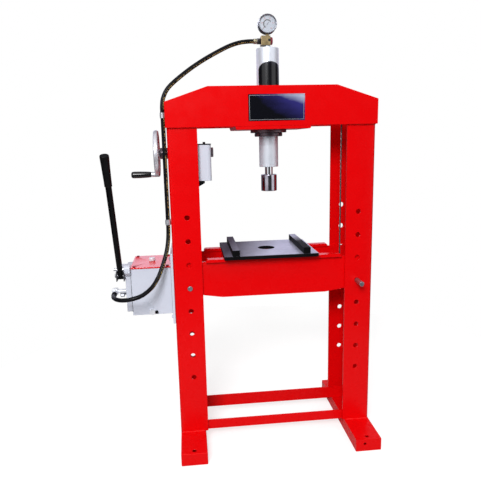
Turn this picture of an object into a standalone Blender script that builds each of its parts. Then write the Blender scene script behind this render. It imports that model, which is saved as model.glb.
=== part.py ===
"""Hydraulic shop press: an H-frame with a bed on pins, a hand pump, a ram and a winch that lifts the bed.

Metres, +Z up, the floor at z = 0 and the front of the press facing -Y. Everything is drawn around the press
axis and hangs on one empty there, which stands off the world origin so that the origin is the middle of the
press's own box on the floor.
"""
import bmesh
import bpy
from math import acos, atan2, cos, pi, radians, sin, tan
from mathutils import Matrix, Vector

# World origin
AXIS_RIGHT = 0.10495       # press axis, to the right of the middle of the press's box
AXIS_BACK = 0.022915       # press axis, behind the middle of the press's box

# General
SEAT = 0.0003              # gap left between two pieces that touch
RUNNING = 0.00015          # radial clearance of a shaft in its bore
OVERRUN = 0.004            # how far a cutter runs past what it cuts
OVERLAP = 0.001            # how far welded lumps sink into each other
MERGE = 0.00001            # points nearer than this are one
SMOOTH_BELOW = radians(50) # flatter corners than this shade smooth
FACETS = 28
FINE_FACETS = 36
MEDIUM_FACETS = 20
SMALL_FACETS = 12
HEX_FACETS = 6
ARC_STEPS = 4

# Frame
FRAME_WIDTH = 0.694        # over the webs of the two columns
COLUMN_DEPTH = 0.205
COLUMN_FLANGE = 0.098
COLUMN_WALL = 0.008
COLUMN_BEND = 0.010        # outer radius of the folded corners
COLUMN_TOP = 1.190
HOLE_RADIUS = 0.0089
HOLE_PITCH = 0.0814
HOLE_COUNT = 8
HOLE_LOWEST = 0.2543
HOLE_INSET = 0.054         # hole centre from the web's outer face
FOOT_WIDTH = 0.090
FOOT_HEIGHT = 0.044
FOOT_WALL = 0.005
FOOT_FRONT_REACH = 0.237
FOOT_REAR_REACH = 0.220
FOOT_BOLT_RADIUS = 0.007
FOOT_END_HOLE = 0.005
FOOT_BOLT_INSET = 0.020
TIE_WALL = 0.006
FRONT_TIE_HEIGHT = 0.034
REAR_TIE_HEIGHT = 0.046
REAR_TIE_SETBACK = 0.066

# Top beam
BEAM_WIDTH = 0.700
BEAM_WALL = 0.008
BEAM_LAP = 0.073           # beam over the columns, below their tops
BEAM_END_HEIGHT = 0.081
BEAM_HEIGHT = 0.127
BEAM_CROWN_WIDTH = 0.422
HEAD_PLATE_WIDTH = 0.252
HEAD_PLATE_WALL = 0.010
HEAD_PLATE_TAPER = 0.004
HEAD_RIB_WALL = 0.008
HEAD_RIB_INSET = 0.012     # a rib's middle from the end of the bottom plate
GUIDE_PLATE_WALL = 0.008
GUIDE_PLATE_DROP = 0.010

# Cylinder and ram
BARREL_RADIUS = 0.038
BARREL_LOWER_RADIUS = 0.033
BARREL_BORE = 0.0250
BARREL_RISE = 0.130        # above the beam
BARREL_DROP = 0.137        # below the beam
BARREL_CROWN = 0.028
BARREL_CHAMFER = 0.002
NECK_RADIUS = 0.011
NECK_HEIGHT = 0.008
PORT_RADIUS = 0.004
FLANGE_RADIUS = 0.062
FLANGE_WALL = 0.010
NUT_RADIUS = 0.048
NUT_WALL = 0.0125
NUT_SLOTS = 4
NUT_SLOT_WIDTH = 0.008
NUT_SLOT_DEPTH = 0.004
GLAND_HEIGHT = 0.024
ROD_RADIUS = 0.0137
PISTON_HEIGHT = 0.030
PISTON_GAP = 0.002
SEAL_HEIGHT = 0.006
SEAL_WALL = 0.005
RAM_HEAD_RADIUS = 0.0275
ROD_SHOWN = 0.027          # rod between the barrel and the ram head
RAM_HEAD_HEIGHT = 0.057
RAM_HEAD_SOCKET = 0.030
RAM_HEAD_CHAMFER = 0.0015
SET_SCREW_RADIUS = 0.003
SPRING_WIRE = 0.0018
SPRING_RADIUS = 0.0195
SPRING_TURNS = 11
SPRING_POINTS = 9

# Manifold and gauge
MANIFOLD_WIDTH = 0.040
MANIFOLD_SHIFT = -0.003    # the block stands a little left of the axis
MANIFOLD_DEPTH = 0.034
MANIFOLD_HEIGHT = 0.030
MANIFOLD_BEVEL = 0.0015
HOSE_PORT_RISE = 0.0143    # hose port above the block's underside
GAUGE_RADIUS = 0.032
GAUGE_DEPTH = 0.028
GAUGE_WALL = 0.0018
GAUGE_HEIGHT = 0.038       # gauge centre above the manifold's top
GAUGE_STEM_RADIUS = 0.006
GAUGE_RIM = 0.0045
LENS_WALL = 0.002
NEEDLE_LENGTH = 0.022
NEEDLE_TAIL = 0.008
NEEDLE_WIDTH = 0.0030
NEEDLE_WALL = 0.0008
NEEDLE_HUB = 0.0035
NEEDLE_START = radians(225)  # direction of the needle at rest, from +X towards +Z

# Hose
HOSE_RADIUS = 0.0070
HOSE_POINT_SPACING = 0.0175
CRIMP_RADIUS = 0.0088
CRIMP_LENGTH = 0.012
HOSE_NUT_RADIUS = 0.0095
HOSE_NUT_LENGTH = 0.012
CLIP_WALL = 0.0018
CLIP_WIDTH = 0.018
CLIP_TAB = 0.022
CLIP_SCREW_RADIUS = 0.0045
CLIP_SCREW_HEIGHT = 0.003
HOSE_OFFSET = 0.0100       # hose centre from the web's outer face
HOSE_FRONT = 0.088         # hose centre in front of the press axis
UPPER_CLIP_RISE = 0.04    # above the beam's lower edge
LOWER_CLIP_RISE = 0.108    # above the pump's mounting plate

# Bed
RAIL_CLEARANCE = 0.034      # both ends of a rail, to the columns' webs
RAIL_WALL = 0.010
RAIL_GAP = 0.166           # clear width between the two rails
RAIL_HEIGHT = 0.127        # without the strip on its top
RAIL_DROP = 0.0389         # rail's lower edge below the pins' axis
RAIL_FLAT = 0.364          # straight stretch of the bottom edge
RAIL_END_RISE = 0.023
STRIP_LENGTH = 0.472
STRIP_HEIGHT = 0.010
STRIP_WIDTH = 0.028
STRIP_PROUD = 0.012
STRIP_CORNER = 0.008
SPACER_WALL = 0.008
SPACER_HEIGHT = 0.068
SPACER_SPREAD = 0.340
PIN_RADIUS = 0.0085
PIN_LENGTH = 0.266
PIN_CHAMFER = 0.0015
LEFT_PIN_PROUD = 0.004
RIGHT_PIN_PROUD = 0.053
PLATE_WIDTH = 0.322
PLATE_DEPTH = 0.258
PLATE_WALL = 0.012
PLATE_SHIFT = -0.013       # the loose plate lies left of the press axis
PLATE_HOLE = 0.030
BAR_WIDTH = 0.024
BAR_HEIGHT = 0.021
BAR_LEFT_INSET = 0.040     # bar centre from the plate's side edge
BAR_RIGHT_INSET = 0.040

# Winch rope and sheaves
ROPE_RADIUS = 0.0025
RIGHT_ROPE_INSET = 0.104   # rope from the outer face of the column's web
LEFT_ROPE_INSET = 0.090
ROPE_FRONT = 0.055         # rope plane in front of the press axis
SHEAVE_TREAD = 0.0200      # radius of the rope's centre line on a sheave
SHEAVE_RADIUS = 0.0250
SHEAVE_WIDTH = 0.012
SHEAVE_BORE = 0.0052
SHEAVE_RISE = 0.033        # above the beam's lower edge
SHEAVE_PIN_BOSS = 0.009
SHEAVE_CAP_RADIUS = 0.008
SHEAVE_CAP_WALL = 0.003
PULLEY_RISE = 0.059        # above the rails' lower edge
ANCHOR_DROP = 0.0245       # below the winch's shelf
ANCHOR_RADIUS = 0.007

# Winch
WINCH_AXIS_FRONT = 0.035
CRANK_DROP = 0.1545        # below the columns' tops
GEAR_MODULE = 0.0020
GEAR_TEETH = 36
PINION_TEETH = 12
GEAR_WIDTH = 0.012
PINION_WIDTH = 0.015
GEAR_BACKLASH = 0.00025
PRESSURE_ANGLE = radians(20)
ADDENDUM_SHARE = 0.80
DEDENDUM_SHARE = 1.15
FLANK_SHARES = (0.0, 0.5, 1.0)
DRUM_RADIUS = 0.0172
DRUM_CHEEK_RADIUS = 0.029
DRUM_CHEEK_WALL = 0.003
DRUM_LENGTH = 0.050
DRUM_AXLE_RADIUS = 0.0075
SHAFT_RADIUS = 0.008
BASE_WALL = 0.005
BASE_RISE = 0.0255         # above the crank's axis
WINCH_FRONT = 0.080
WINCH_REAR = 0.010         # behind the press axis
GEAR_CLEARANCE = 0.0074    # from the large gear down to the shelf
SHELF_WALL = 0.004
SHELF_REACH = 0.118        # from the web's outer face
GUSSET_WALL = 0.004
GUSSET_DROP = 0.060
HOUSING_REACH = 0.142      # from the web's outer face
HOUSING_WALL = 0.002
HOUSING_CORNER = 0.012
CAP_WALL = 0.003
CAP_LIP = 0.0015
CAP_KNOB_RADIUS = 0.0045
CAP_KNOB_HEIGHT = 0.006
ROPE_SLOT_RADIUS = 0.007
BEARING_RADIUS = 0.0185
BEARING_LENGTH = 0.026
SHAFT_NUT_RADIUS = 0.016
SHAFT_NUT_LENGTH = 0.009
WHEEL_RADIUS = 0.069       # of the rim's centre line
WHEEL_RIM = 0.008
WHEEL_OFFSET = 0.0375       # wheel's plane outside the web's outer face
WHEEL_HUB_RADIUS = 0.014
WHEEL_HUB_LENGTH = 0.020
WHEEL_SPOKES = 3
WHEEL_RIM_FACETS = 8
SPOKE_RADIUS = 0.005
SPOKE_TIP_RADIUS = 0.0038
GRIP_RADIUS = 0.0112
GRIP_LENGTH = 0.066
GRIP_GAP = 0.014
GRIP_BOSS_RADIUS = 0.0085
GRIP_PIN_RADIUS = 0.0045
GRIP_SHARES = (            # radius and length of the grip's profile
    (0.50, 1.00),
    (0.85, 0.97),
    (1.00, 0.88),
    (1.00, 0.55),
    (0.92, 0.20),
    (0.80, 0.03),
    (0.70, 0.00),
)

# Hand pump
BRACKET_WALL = 0.008
BRACKET_BELOW = 0.036      # mounting plate below the tank
BRACKET_ABOVE = 0.047      # and above it
BRACKET_DEPTH = 0.196
TANK_WIDTH = 0.135
TANK_DEPTH = 0.182
TANK_HEIGHT = 0.163
TANK_BOTTOM = 0.492
TANK_WALL = 0.003
LID_WALL = 0.004
LID_PROUD = 0.002
FILLER_RADIUS = 0.011
FILLER_HEIGHT = 0.013
FILLER_STEM = 0.008
DRAIN_RADIUS = 0.0105
DRAIN_LENGTH = 0.010
DRAIN_DROP = 0.010         # plug centre above the tank's bottom
PUMP_HEAD_WALL = 0.0185
PUMP_HEAD_FRONT = 0.088
PUMP_HEAD_REAR = 0.030
PUMP_HEAD_LIFT = 0.013     # above the tank's bottom
PUMP_HEAD_CORNER = 0.003
PUMP_HEAD_SHOULDER = 0.010
LUG_ABOVE = 0.014          # lug above the tank's top
LUG_REACH = 0.020          # in front of the pump head
LUG_BELOW = 0.010
LUG_BACK = 0.010
LUG_SLOPE = 0.025
FULCRUM_REACH = 0.009
FULCRUM_RISE = 0.003
FULCRUM_RADIUS = 0.005
FULCRUM_LENGTH = 0.052
LEVER_LEAN = radians(22.5)
LEVER_RADIUS = 0.0095
LEVER_LENGTH = 0.410       # from the fulcrum to the grip's top
LEVER_TAIL = 0.036
LEVER_CRANK = 0.026        # from the fulcrum to the link bolt
LEVER_OFFSET = 0.015       # lever's axis outside the pump head's face
LEVER_GRIP_LENGTH = 0.098
LEVER_GRIP_RADIUS = 0.0115
LEVER_GRIP_TIP = 0.0138
YOKE_WALL = 0.003
YOKE_SIDE_GAP = 0.001
YOKE_HEIGHT = 0.034
YOKE_REACH = 0.015         # in front of the link bolt
YOKE_BACK_GAP = 0.015      # from the link bolt back to the yoke's bridge
YOKE_BRIDGE = 0.008
YOKE_SLOT_WIDTH = 0.0130
YOKE_SLOT_HEIGHT = 0.0220
BOLT_RADIUS = 0.005
BOLT_HEAD_RADIUS = 0.008
BOLT_HEAD = 0.005
PLUNGER_RADIUS = 0.007
PLUNGER_LENGTH = 0.056
BOSS_HALF_WIDTH = 0.015
BOSS_FRONT = 0.050
BOSS_HEIGHT = 0.034
OUTLET_FRONT = 0.062
OUTLET_RISE = 0.081        # above the tank's bottom
OUTLET_RADIUS = 0.007
BANJO_RADIUS = 0.012
BANJO_WIDTH = 0.015
BANJO_OFFSET = 0.038       # banjo's plane outside the pump head's face
LOWER_CRIMP_START = 0.086
LOWER_CRIMP_LENGTH = 0.026
VALVE_FRONT = 0.040
VALVE_RISE = 0.064
VALVE_STEM_RADIUS = 0.0045
VALVE_KNOB_RADIUS = 0.011
VALVE_KNOB_OFFSET = 0.012
VALVE_KNOB_LENGTH = 0.014
VALVE_FLUTES = 8
VALVE_FLUTE_RADIUS = 0.003
FIXING_RADIUS = 0.0065
FIXING_HEIGHT = 0.0055
FIXING_INSET = 0.020
LID_SCREW_RADIUS = 0.004
LID_SCREW_HEIGHT = 0.003
LID_SCREW_INSET = 0.010

# Places worked out from the sizes above
FRAME_HALF = FRAME_WIDTH / 2
COLUMN_HALF_DEPTH = COLUMN_DEPTH / 2
COLUMN_INSIDE = COLUMN_HALF_DEPTH - COLUMN_WALL
COLUMN_FOOT = FOOT_HEIGHT + SEAT
BEAM_BOTTOM = COLUMN_TOP - BEAM_LAP
BEAM_END_TOP = BEAM_BOTTOM + BEAM_END_HEIGHT
BEAM_TOP = BEAM_BOTTOM + BEAM_HEIGHT
BARREL_TOP = BEAM_TOP + BARREL_RISE
BARREL_BOTTOM = BEAM_BOTTOM - BARREL_DROP
WEB_INSIDE = FRAME_HALF - COLUMN_WALL
HOLE_X = FRAME_HALF - HOLE_INSET
PIN_HEIGHT = HOLE_LOWEST + (HOLE_COUNT - 4) * HOLE_PITCH
BEAM_FACE = COLUMN_HALF_DEPTH + SEAT
RAIL_LENGTH = FRAME_WIDTH - RAIL_CLEARANCE
RAIL_BOTTOM = PIN_HEIGHT - RAIL_DROP
RAIL_TOP = RAIL_BOTTOM + RAIL_HEIGHT
PULLEY_HEIGHT = RAIL_BOTTOM + PULLEY_RISE
SHEAVE_HEIGHT = BEAM_BOTTOM + SHEAVE_RISE
BED_TOP = RAIL_TOP + STRIP_HEIGHT
PLATE_BOTTOM = BED_TOP + SEAT
PLATE_TOP = PLATE_BOTTOM + PLATE_WALL
RAM_HEAD_TOP = BARREL_BOTTOM - ROD_SHOWN
RAM_HEAD_BOTTOM = RAM_HEAD_TOP - RAM_HEAD_HEIGHT
GUIDE_PLATE_TOP = BEAM_TOP - GUIDE_PLATE_DROP
MANIFOLD_BOTTOM = BARREL_TOP + NECK_HEIGHT + SEAT
MANIFOLD_TOP = MANIFOLD_BOTTOM + MANIFOLD_HEIGHT
HOSE_PORT_HEIGHT = MANIFOLD_BOTTOM + HOSE_PORT_RISE
HOSE_PORT_FACE = MANIFOLD_SHIFT - MANIFOLD_WIDTH / 2
GAUGE_CENTRE = MANIFOLD_TOP + GAUGE_HEIGHT
CRANK_HEIGHT = COLUMN_TOP - CRANK_DROP
DRUM_HEIGHT = CRANK_HEIGHT - GEAR_MODULE * (GEAR_TEETH + PINION_TEETH) / 2
GEAR_TIP = GEAR_MODULE * (GEAR_TEETH / 2 + ADDENDUM_SHARE)
SHELF_HEIGHT = DRUM_HEIGHT - GEAR_TIP - GEAR_CLEARANCE
ANCHOR_HEIGHT = SHELF_HEIGHT - SHELF_WALL - ANCHOR_DROP
BASE_TOP = CRANK_HEIGHT + BASE_RISE
BASE_FACE = -WEB_INSIDE + SEAT + BASE_WALL
HOUSING_LEFT = BASE_FACE + SEAT
HOUSING_RIGHT = -FRAME_HALF + HOUSING_REACH
HOUSING_BOTTOM = SHELF_HEIGHT + SEAT
HOUSING_TOP = BASE_TOP
GEAR_LEFT = BASE_FACE + 2 * CAP_WALL
DRUM_LEFT = GEAR_LEFT + GEAR_WIDTH
DRUM_ROPE_X = DRUM_LEFT + DRUM_LENGTH / 2
RIGHT_ROPE_X = FRAME_HALF - RIGHT_ROPE_INSET
LEFT_ROPE_X = -FRAME_HALF + LEFT_ROPE_INSET
BRACKET_FACE = -FRAME_HALF - SEAT - BRACKET_WALL
TANK_RIGHT = BRACKET_FACE - SEAT
TANK_LEFT = TANK_RIGHT - TANK_WIDTH
TANK_TOP = TANK_BOTTOM + TANK_HEIGHT
BRACKET_BOTTOM = TANK_BOTTOM - BRACKET_BELOW
BRACKET_TOP = TANK_TOP + BRACKET_ABOVE
UPPER_CLIP_HEIGHT = BEAM_BOTTOM + UPPER_CLIP_RISE
LOWER_CLIP_HEIGHT = BRACKET_TOP + LOWER_CLIP_RISE
PUMP_HEAD_BOTTOM = TANK_BOTTOM + PUMP_HEAD_LIFT
LUG_TOP = TANK_TOP + LUG_ABOVE
LUG_FRONT = PUMP_HEAD_FRONT + LUG_REACH
LUG_BOTTOM = TANK_TOP - LUG_BELOW
LUG_REAR = PUMP_HEAD_FRONT - LUG_BACK
LUG_SLOPE_FOOT = TANK_TOP - LUG_SLOPE
FULCRUM_FRONT = PUMP_HEAD_FRONT + FULCRUM_REACH
FULCRUM_HEIGHT = TANK_TOP + FULCRUM_RISE
OUTLET_HEIGHT = TANK_BOTTOM + OUTLET_RISE
VALVE_HEIGHT = TANK_BOTTOM + VALVE_RISE
TANK_FRONT = TANK_DEPTH / 2
PUMP_FACE = TANK_LEFT - SEAT - PUMP_HEAD_WALL
LEVER_X = PUMP_FACE - LEVER_OFFSET
LEVER_UP = Vector((0, -sin(LEVER_LEAN), cos(LEVER_LEAN)))
FULCRUM = Vector((LEVER_X, -FULCRUM_FRONT, FULCRUM_HEIGHT))
LINK_BOLT = FULCRUM - LEVER_CRANK * LEVER_UP
BANJO_X = PUMP_FACE - BANJO_OFFSET
HOSE_COLUMN_X = -FRAME_HALF - HOSE_OFFSET

# The hose's route between its fittings and its clips, as shares of the way from one to the next
HOSE_UPPER_SHARES = (
    (0.0469, 0.0000, 0.0000),
    (0.1466, 0.0308, 0.0162),
    (0.2611, 0.1059, 0.0637),
    (0.3905, 0.2291, 0.1462),
    (0.5656, 0.4340, 0.2762),
    (0.7419, 0.6848, 0.4340),
    (0.9166, 0.8996, 0.6236),
    (0.9824, 0.9780, 0.7611),
    (1.0000, 1.0000, 0.8831),
)
HOSE_MIDDLE_SHARES = (0.0, 0.12, 0.35, 0.65, 0.88, 1.0)
HOSE_LOWER_SHARES = (
    (0.0016, 0.0206, 0.1181),
    (0.0143, 0.2659, 0.2619),
    (0.0485, 0.7583, 0.4096),
    (0.1142, 1.3676, 0.5711),
    (0.1996, 1.9723, 0.7306),
    (0.3110, 2.8001, 0.8550),
    (0.4657, 3.7934, 0.9319),
    (0.6298, 4.1096, 0.9700),
    (0.7883, 3.8415, 0.9906),
    (0.9049, 3.1864, 0.9992),
    (0.9773, 2.2576, 1.0004),
)


# Making objects

def clear_scene():
    """Removes every object that the file opened with."""
    for item in list(bpy.data.objects):
        bpy.data.objects.remove(item, do_unlink=True)


def new_collection(name):
    """A collection linked to the scene."""
    group = bpy.data.collections.new(name)
    bpy.context.scene.collection.children.link(group)
    return group


def linear(channel):
    """One sRGB channel, 0 to 255, as a linear value."""
    share = channel / 255
    return share / 12.92 if share <= 0.04045 else ((share + 0.055) / 1.055) ** 2.4


def finish(name, red, green, blue, roughness, metallic=0.0):
    """A Principled material with a plain colour."""
    material = bpy.data.materials.new(name)
    material.use_nodes = True
    shader = material.node_tree.nodes["Principled BSDF"]
    colour = (linear(red), linear(green), linear(blue), 1.0)
    shader.inputs["Base Color"].default_value = colour
    shader.inputs["Roughness"].default_value = roughness
    shader.inputs["Metallic"].default_value = metallic
    material.diffuse_color = colour
    return material


def place(name, mesh, look, matrix=Matrix.Identity(4)):
    """A named piece of the press, with its material."""
    item = bpy.data.objects.new(name, mesh)
    item.matrix_world = matrix
    smooth(mesh)
    mesh.materials.clear()
    mesh.materials.append(look)
    PRESS.objects.link(item)
    return item


def hidden(mesh, matrix=Matrix.Identity(4)):
    """A cutter or a welded lump, kept out of the model."""
    item = bpy.data.objects.new(mesh.name + "_tool", mesh)
    item.matrix_world = matrix
    smooth(mesh)
    item.hide_render = True
    item.display_type = "WIRE"
    TOOLS.objects.link(item)
    return item


def boolean(target, tool, operation):
    """Adds one exact Boolean with a hidden tool."""
    modifier = target.modifiers.new(operation.lower(), "BOOLEAN")
    modifier.operation = operation
    modifier.solver = "EXACT"
    modifier.object = tool
    return target


def cut(target, *meshes):
    """Cuts each mesh out of a piece."""
    for mesh in meshes:
        boolean(target, hidden(mesh), "DIFFERENCE")
    return target


def weld(target, *meshes):
    """Joins each mesh to a piece as one body."""
    for mesh in meshes:
        boolean(target, hidden(mesh), "UNION")
    return target


def bevel(target, width, segments=2):
    """Rounds the sharp edges of a piece."""
    modifier = target.modifiers.new("rounded edges", "BEVEL")
    modifier.width = width
    modifier.segments = segments
    modifier.limit_method = "ANGLE"
    modifier.angle_limit = radians(50)
    return target


def from_bmesh(name, build):
    """A mesh datablock from a filled bmesh."""
    bmesh.ops.recalc_face_normals(build, faces=build.faces)
    mesh = bpy.data.meshes.new(name)
    build.to_mesh(mesh)
    build.free()
    return mesh


def block(low, high, name="block"):
    """A box from its lowest to its highest corner."""
    low = Vector(low)
    high = Vector(high)
    size = high - low
    build = bmesh.new()
    matrix = Matrix.Translation((low + high) / 2) @ Matrix.Diagonal(size).to_4x4()
    bmesh.ops.create_cube(build, size=1.0, matrix=matrix)
    return from_bmesh(name, build)


def along(start, end):
    """A matrix whose Z axis runs from start to end, centred between them."""
    start = Vector(start)
    end = Vector(end)
    turn = (end - start).to_track_quat("Z", "Y").to_matrix().to_4x4()
    return Matrix.Translation((start + end) / 2) @ turn


def rod(start, end, radius, end_radius=None, facets=FACETS, name="rod"):
    """A cylinder or a cone between two points."""
    length = (Vector(end) - Vector(start)).length
    build = bmesh.new()
    bmesh.ops.create_cone(
        build,
        cap_ends=True,
        segments=facets,
        radius1=radius,
        radius2=radius if end_radius is None else end_radius,
        depth=length,
        matrix=along(start, end),
    )
    return from_bmesh(name, build)


def several(meshes, name="group"):
    """Separate solids gathered in one mesh."""
    build = bmesh.new()
    for mesh in meshes:
        build.from_mesh(mesh)
    return from_bmesh(name, build)


def smooth(mesh):
    """Round sides shade smooth and corners stay sharp."""
    mesh.shade_smooth()
    mesh.set_sharp_from_angle(angle=SMOOTH_BELOW)


def turned(name, profile, look, origin=(0, 0, 0), direction=(0, 0, 1), facets=FACETS, ring=False):
    """A profile of (radius, height) points turned about an axis through origin.

    The points run down the outer side. A ring's profile closes on itself, and any other starts and
    ends on the axis.
    """
    count = len(profile)
    edges = [(i, i + 1) for i in range(count - 1)]
    if ring:
        edges.append((count - 1, 0))
    mesh = bpy.data.meshes.new(name)
    mesh.from_pydata([(radius, 0, height) for radius, height in profile], edges, [])
    turn = Vector(direction).to_track_quat("Z", "Y").to_matrix().to_4x4()
    item = place(name, mesh, look, Matrix.Translation(Vector(origin)) @ turn)
    screw = item.modifiers.new("turned", "SCREW")
    screw.steps = facets
    screw.render_steps = facets
    screw.use_merge_vertices = True
    screw.merge_threshold = MERGE
    screw.use_smooth_shade = True
    return item


def evaluated_mesh(item, name):
    """The finished mesh of an object, welded, in world space, and the object removed."""
    graph = bpy.context.evaluated_depsgraph_get()
    mesh = bpy.data.meshes.new_from_object(item.evaluated_get(graph))
    mesh.transform(item.matrix_world)
    build = bmesh.new()
    build.from_mesh(mesh)
    bmesh.ops.remove_doubles(build, verts=build.verts, dist=MERGE)
    bpy.data.meshes.remove(mesh)
    bpy.data.objects.remove(item, do_unlink=True)
    return from_bmesh(name, build)


def rounded(corners, steps=ARC_STEPS):
    """An outline from (x, y, radius) corners, each rounded by an arc of its radius."""
    points = []
    count = len(corners)
    for index in range(count):
        x, y, radius = corners[index]
        before = Vector(corners[index - 1][:2]) - Vector((x, y))
        after = Vector(corners[(index + 1) % count][:2]) - Vector((x, y))
        if radius == 0:
            points.append((x, y))
            continue
        half = before.angle(after) / 2
        bisector = (before.normalized() + after.normalized()).normalized()
        middle = Vector((x, y)) + bisector * (radius / sin(half))
        start = Vector((x, y)) + before.normalized() * (radius / tan(half)) - middle
        end = Vector((x, y)) + after.normalized() * (radius / tan(half)) - middle
        first = atan2(start.y, start.x)
        sweep = (atan2(end.y, end.x) - first + pi) % (2 * pi) - pi
        for step in range(steps + 1):
            angle = first + sweep * step / steps
            points.append((middle.x + radius * cos(angle), middle.y + radius * sin(angle)))
    return points


def circle(x, y, radius, facets=SMALL_FACETS):
    """The points of a round hole in an outline."""
    return [
        (x + radius * cos(2 * pi * i / facets), y + radius * sin(2 * pi * i / facets))
        for i in range(facets)
    ]


FRONT_VIEW = Matrix(((1, 0, 0, 0), (0, 0, -1, 0), (0, 1, 0, 0), (0, 0, 0, 1)))
SIDE_VIEW = Matrix(((0, 0, 1, 0), (1, 0, 0, 0), (0, 1, 0, 0), (0, 0, 0, 1)))
TOP_VIEW = Matrix.Identity(4)


def sheet(outlines, thickness, view, centre, name="sheet"):
    """A flat piece cut to an outline, with any further outlines as holes in it.

    The outline lies in the view's plane and the thickness is centred on the given point.
    """
    curve = bpy.data.curves.new(name, "CURVE")
    curve.dimensions = "2D"
    curve.fill_mode = "BOTH"
    curve.extrude = thickness / 2
    for outline in outlines:
        spline = curve.splines.new("POLY")
        spline.points.add(len(outline) - 1)
        for point, (x, y) in zip(spline.points, outline):
            point.co = (x, y, 0, 1)
        spline.use_cyclic_u = True
    item = bpy.data.objects.new(name, curve)
    TOOLS.objects.link(item)
    item.matrix_world = Matrix.Translation(Vector(centre)) @ view
    bpy.context.view_layer.update()
    return evaluated_mesh(item, name)


def smooth_route(points, spacing):
    """Points at an even spacing along a smooth curve through the given ones."""
    fine = []
    steps = 12
    padded = [2 * points[0] - points[1]] + list(points) + [2 * points[-1] - points[-2]]
    for i in range(1, len(padded) - 2):
        a, b, c, d = padded[i - 1:i + 3]
        for step in range(steps):
            t = step / steps
            fine.append(
                0.5 * (2 * b + (c - a) * t + (2 * a - 5 * b + 4 * c - d) * t ** 2
                       + (3 * b - 3 * c + d - a) * t ** 3)
            )
    fine.append(points[-1])
    total = sum((b - a).length for a, b in zip(fine, fine[1:]))
    count = round(total / spacing)
    route = [fine[0]]
    travelled = 0
    for a, b in zip(fine, fine[1:]):
        length = (b - a).length
        while len(route) < count and travelled + length >= total * len(route) / count:
            route.append(a.lerp(b, (total * len(route) / count - travelled) / length))
        travelled += length
    route.append(fine[-1])
    return route


def tube(name, points, radius, look, resolution=2):
    """A round cord or wire along a line of points, with filled ends."""
    curve = bpy.data.curves.new(name, "CURVE")
    curve.dimensions = "3D"
    curve.bevel_depth = radius
    curve.bevel_resolution = resolution
    curve.use_fill_caps = True
    spline = curve.splines.new("POLY")
    spline.points.add(len(points) - 1)
    for point, place_at in zip(spline.points, points):
        point.co = (place_at[0], place_at[1], place_at[2], 1)
    item = bpy.data.objects.new(name, curve)
    curve.materials.append(look)
    PRESS.objects.link(item)
    return item


def arc(centre, radius, first, last, steps, across, up):
    """Points on an arc about a centre, in the plane of two directions."""
    return [
        Vector(centre)
        + radius * cos(first + (last - first) * i / steps) * Vector(across)
        + radius * sin(first + (last - first) * i / steps) * Vector(up)
        for i in range(steps + 1)
    ]


# Frame

def column_section(side):
    """The C-section of one column, open towards the press axis."""
    outer = FRAME_HALF
    inner = FRAME_HALF - COLUMN_FLANGE
    bend = COLUMN_BEND
    inside_bend = COLUMN_BEND - COLUMN_WALL
    corners = [
        (inner, -COLUMN_HALF_DEPTH, 0),
        (outer, -COLUMN_HALF_DEPTH, bend),
        (outer, COLUMN_HALF_DEPTH, bend),
        (inner, COLUMN_HALF_DEPTH, 0),
        (inner, COLUMN_INSIDE, 0),
        (WEB_INSIDE, COLUMN_INSIDE, inside_bend),
        (WEB_INSIDE, -COLUMN_INSIDE, inside_bend),
        (inner, -COLUMN_INSIDE, 0),
    ]
    return [(side * x, y) for x, y in rounded(corners, 4)]


def column(name, side):
    """One column with its row of pin holes through both flanges."""
    middle = (COLUMN_TOP + COLUMN_FOOT) / 2
    mesh = sheet([column_section(side)], COLUMN_TOP - COLUMN_FOOT, TOP_VIEW, (0, 0, middle), name)
    item = place(name, mesh, RED)
    reach = COLUMN_HALF_DEPTH + OVERRUN
    drills = []
    for index in range(HOLE_COUNT):
        height = HOLE_LOWEST + index * HOLE_PITCH
        start = (side * HOLE_X, -reach, height)
        end = (side * HOLE_X, reach, height)
        drills.append(rod(start, end, HOLE_RADIUS, facets=SMALL_FACETS))
    cut(item, several(drills, "pin_holes"))
    return item


def sheave_pin(x, height, carrier_front):
    """A stub pin standing back from a plate, shouldered and long enough for its sheave."""
    shoulder = -ROPE_FRONT - SHEAVE_WIDTH / 2 - SEAT
    end = -ROPE_FRONT + SHEAVE_WIDTH / 2 + SEAT
    boss = rod(
        (x, carrier_front - OVERLAP, height),
        (x, shoulder, height),
        SHEAVE_PIN_BOSS,
        facets=SMALL_FACETS,
    )
    pin = rod(
        (x, shoulder - OVERLAP, height),
        (x, end + OVERLAP, height),
        SHEAVE_BORE - RUNNING,
        facets=SMALL_FACETS,
    )
    cap = rod((x, end, height), (x, end + SHEAVE_CAP_WALL, height), SHEAVE_CAP_RADIUS, facets=SMALL_FACETS)
    return boss, pin, cap


def foot(name, side, front_hole):
    """One rectangular tube foot with closed ends and bolt holes."""
    inner = side * (FRAME_HALF - FOOT_WIDTH)
    outer = side * FRAME_HALF
    left, right = sorted((inner, outer))
    item = place(name, block((left, -FOOT_FRONT_REACH, 0), (right, FOOT_REAR_REACH, FOOT_HEIGHT)), RED)
    wall = FOOT_WALL
    cut(item, block(
        (left + wall, -FOOT_FRONT_REACH + wall, wall),
        (right - wall, FOOT_REAR_REACH - wall, FOOT_HEIGHT - wall),
    ))
    middle = (left + right) / 2
    ends = (-FOOT_FRONT_REACH + FOOT_BOLT_INSET, FOOT_REAR_REACH - FOOT_BOLT_INSET)
    drills = [
        rod((middle, y, -OVERRUN), (middle, y, FOOT_HEIGHT + OVERRUN), FOOT_BOLT_RADIUS, facets=SMALL_FACETS)
        for y in ends
    ]
    cut(item, several(drills, "foot_bolt_holes"))
    if front_hole:
        y = -FOOT_FRONT_REACH
        height = FOOT_HEIGHT / 2 + wall
        x = middle - FOOT_WIDTH / 7
        cut(
            item,
            rod(
                (x, y - OVERRUN, height),
                (x, y + wall + OVERRUN, height),
                FOOT_END_HOLE,
                facets=SMALL_FACETS,
            ),
        )
    return item


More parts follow.
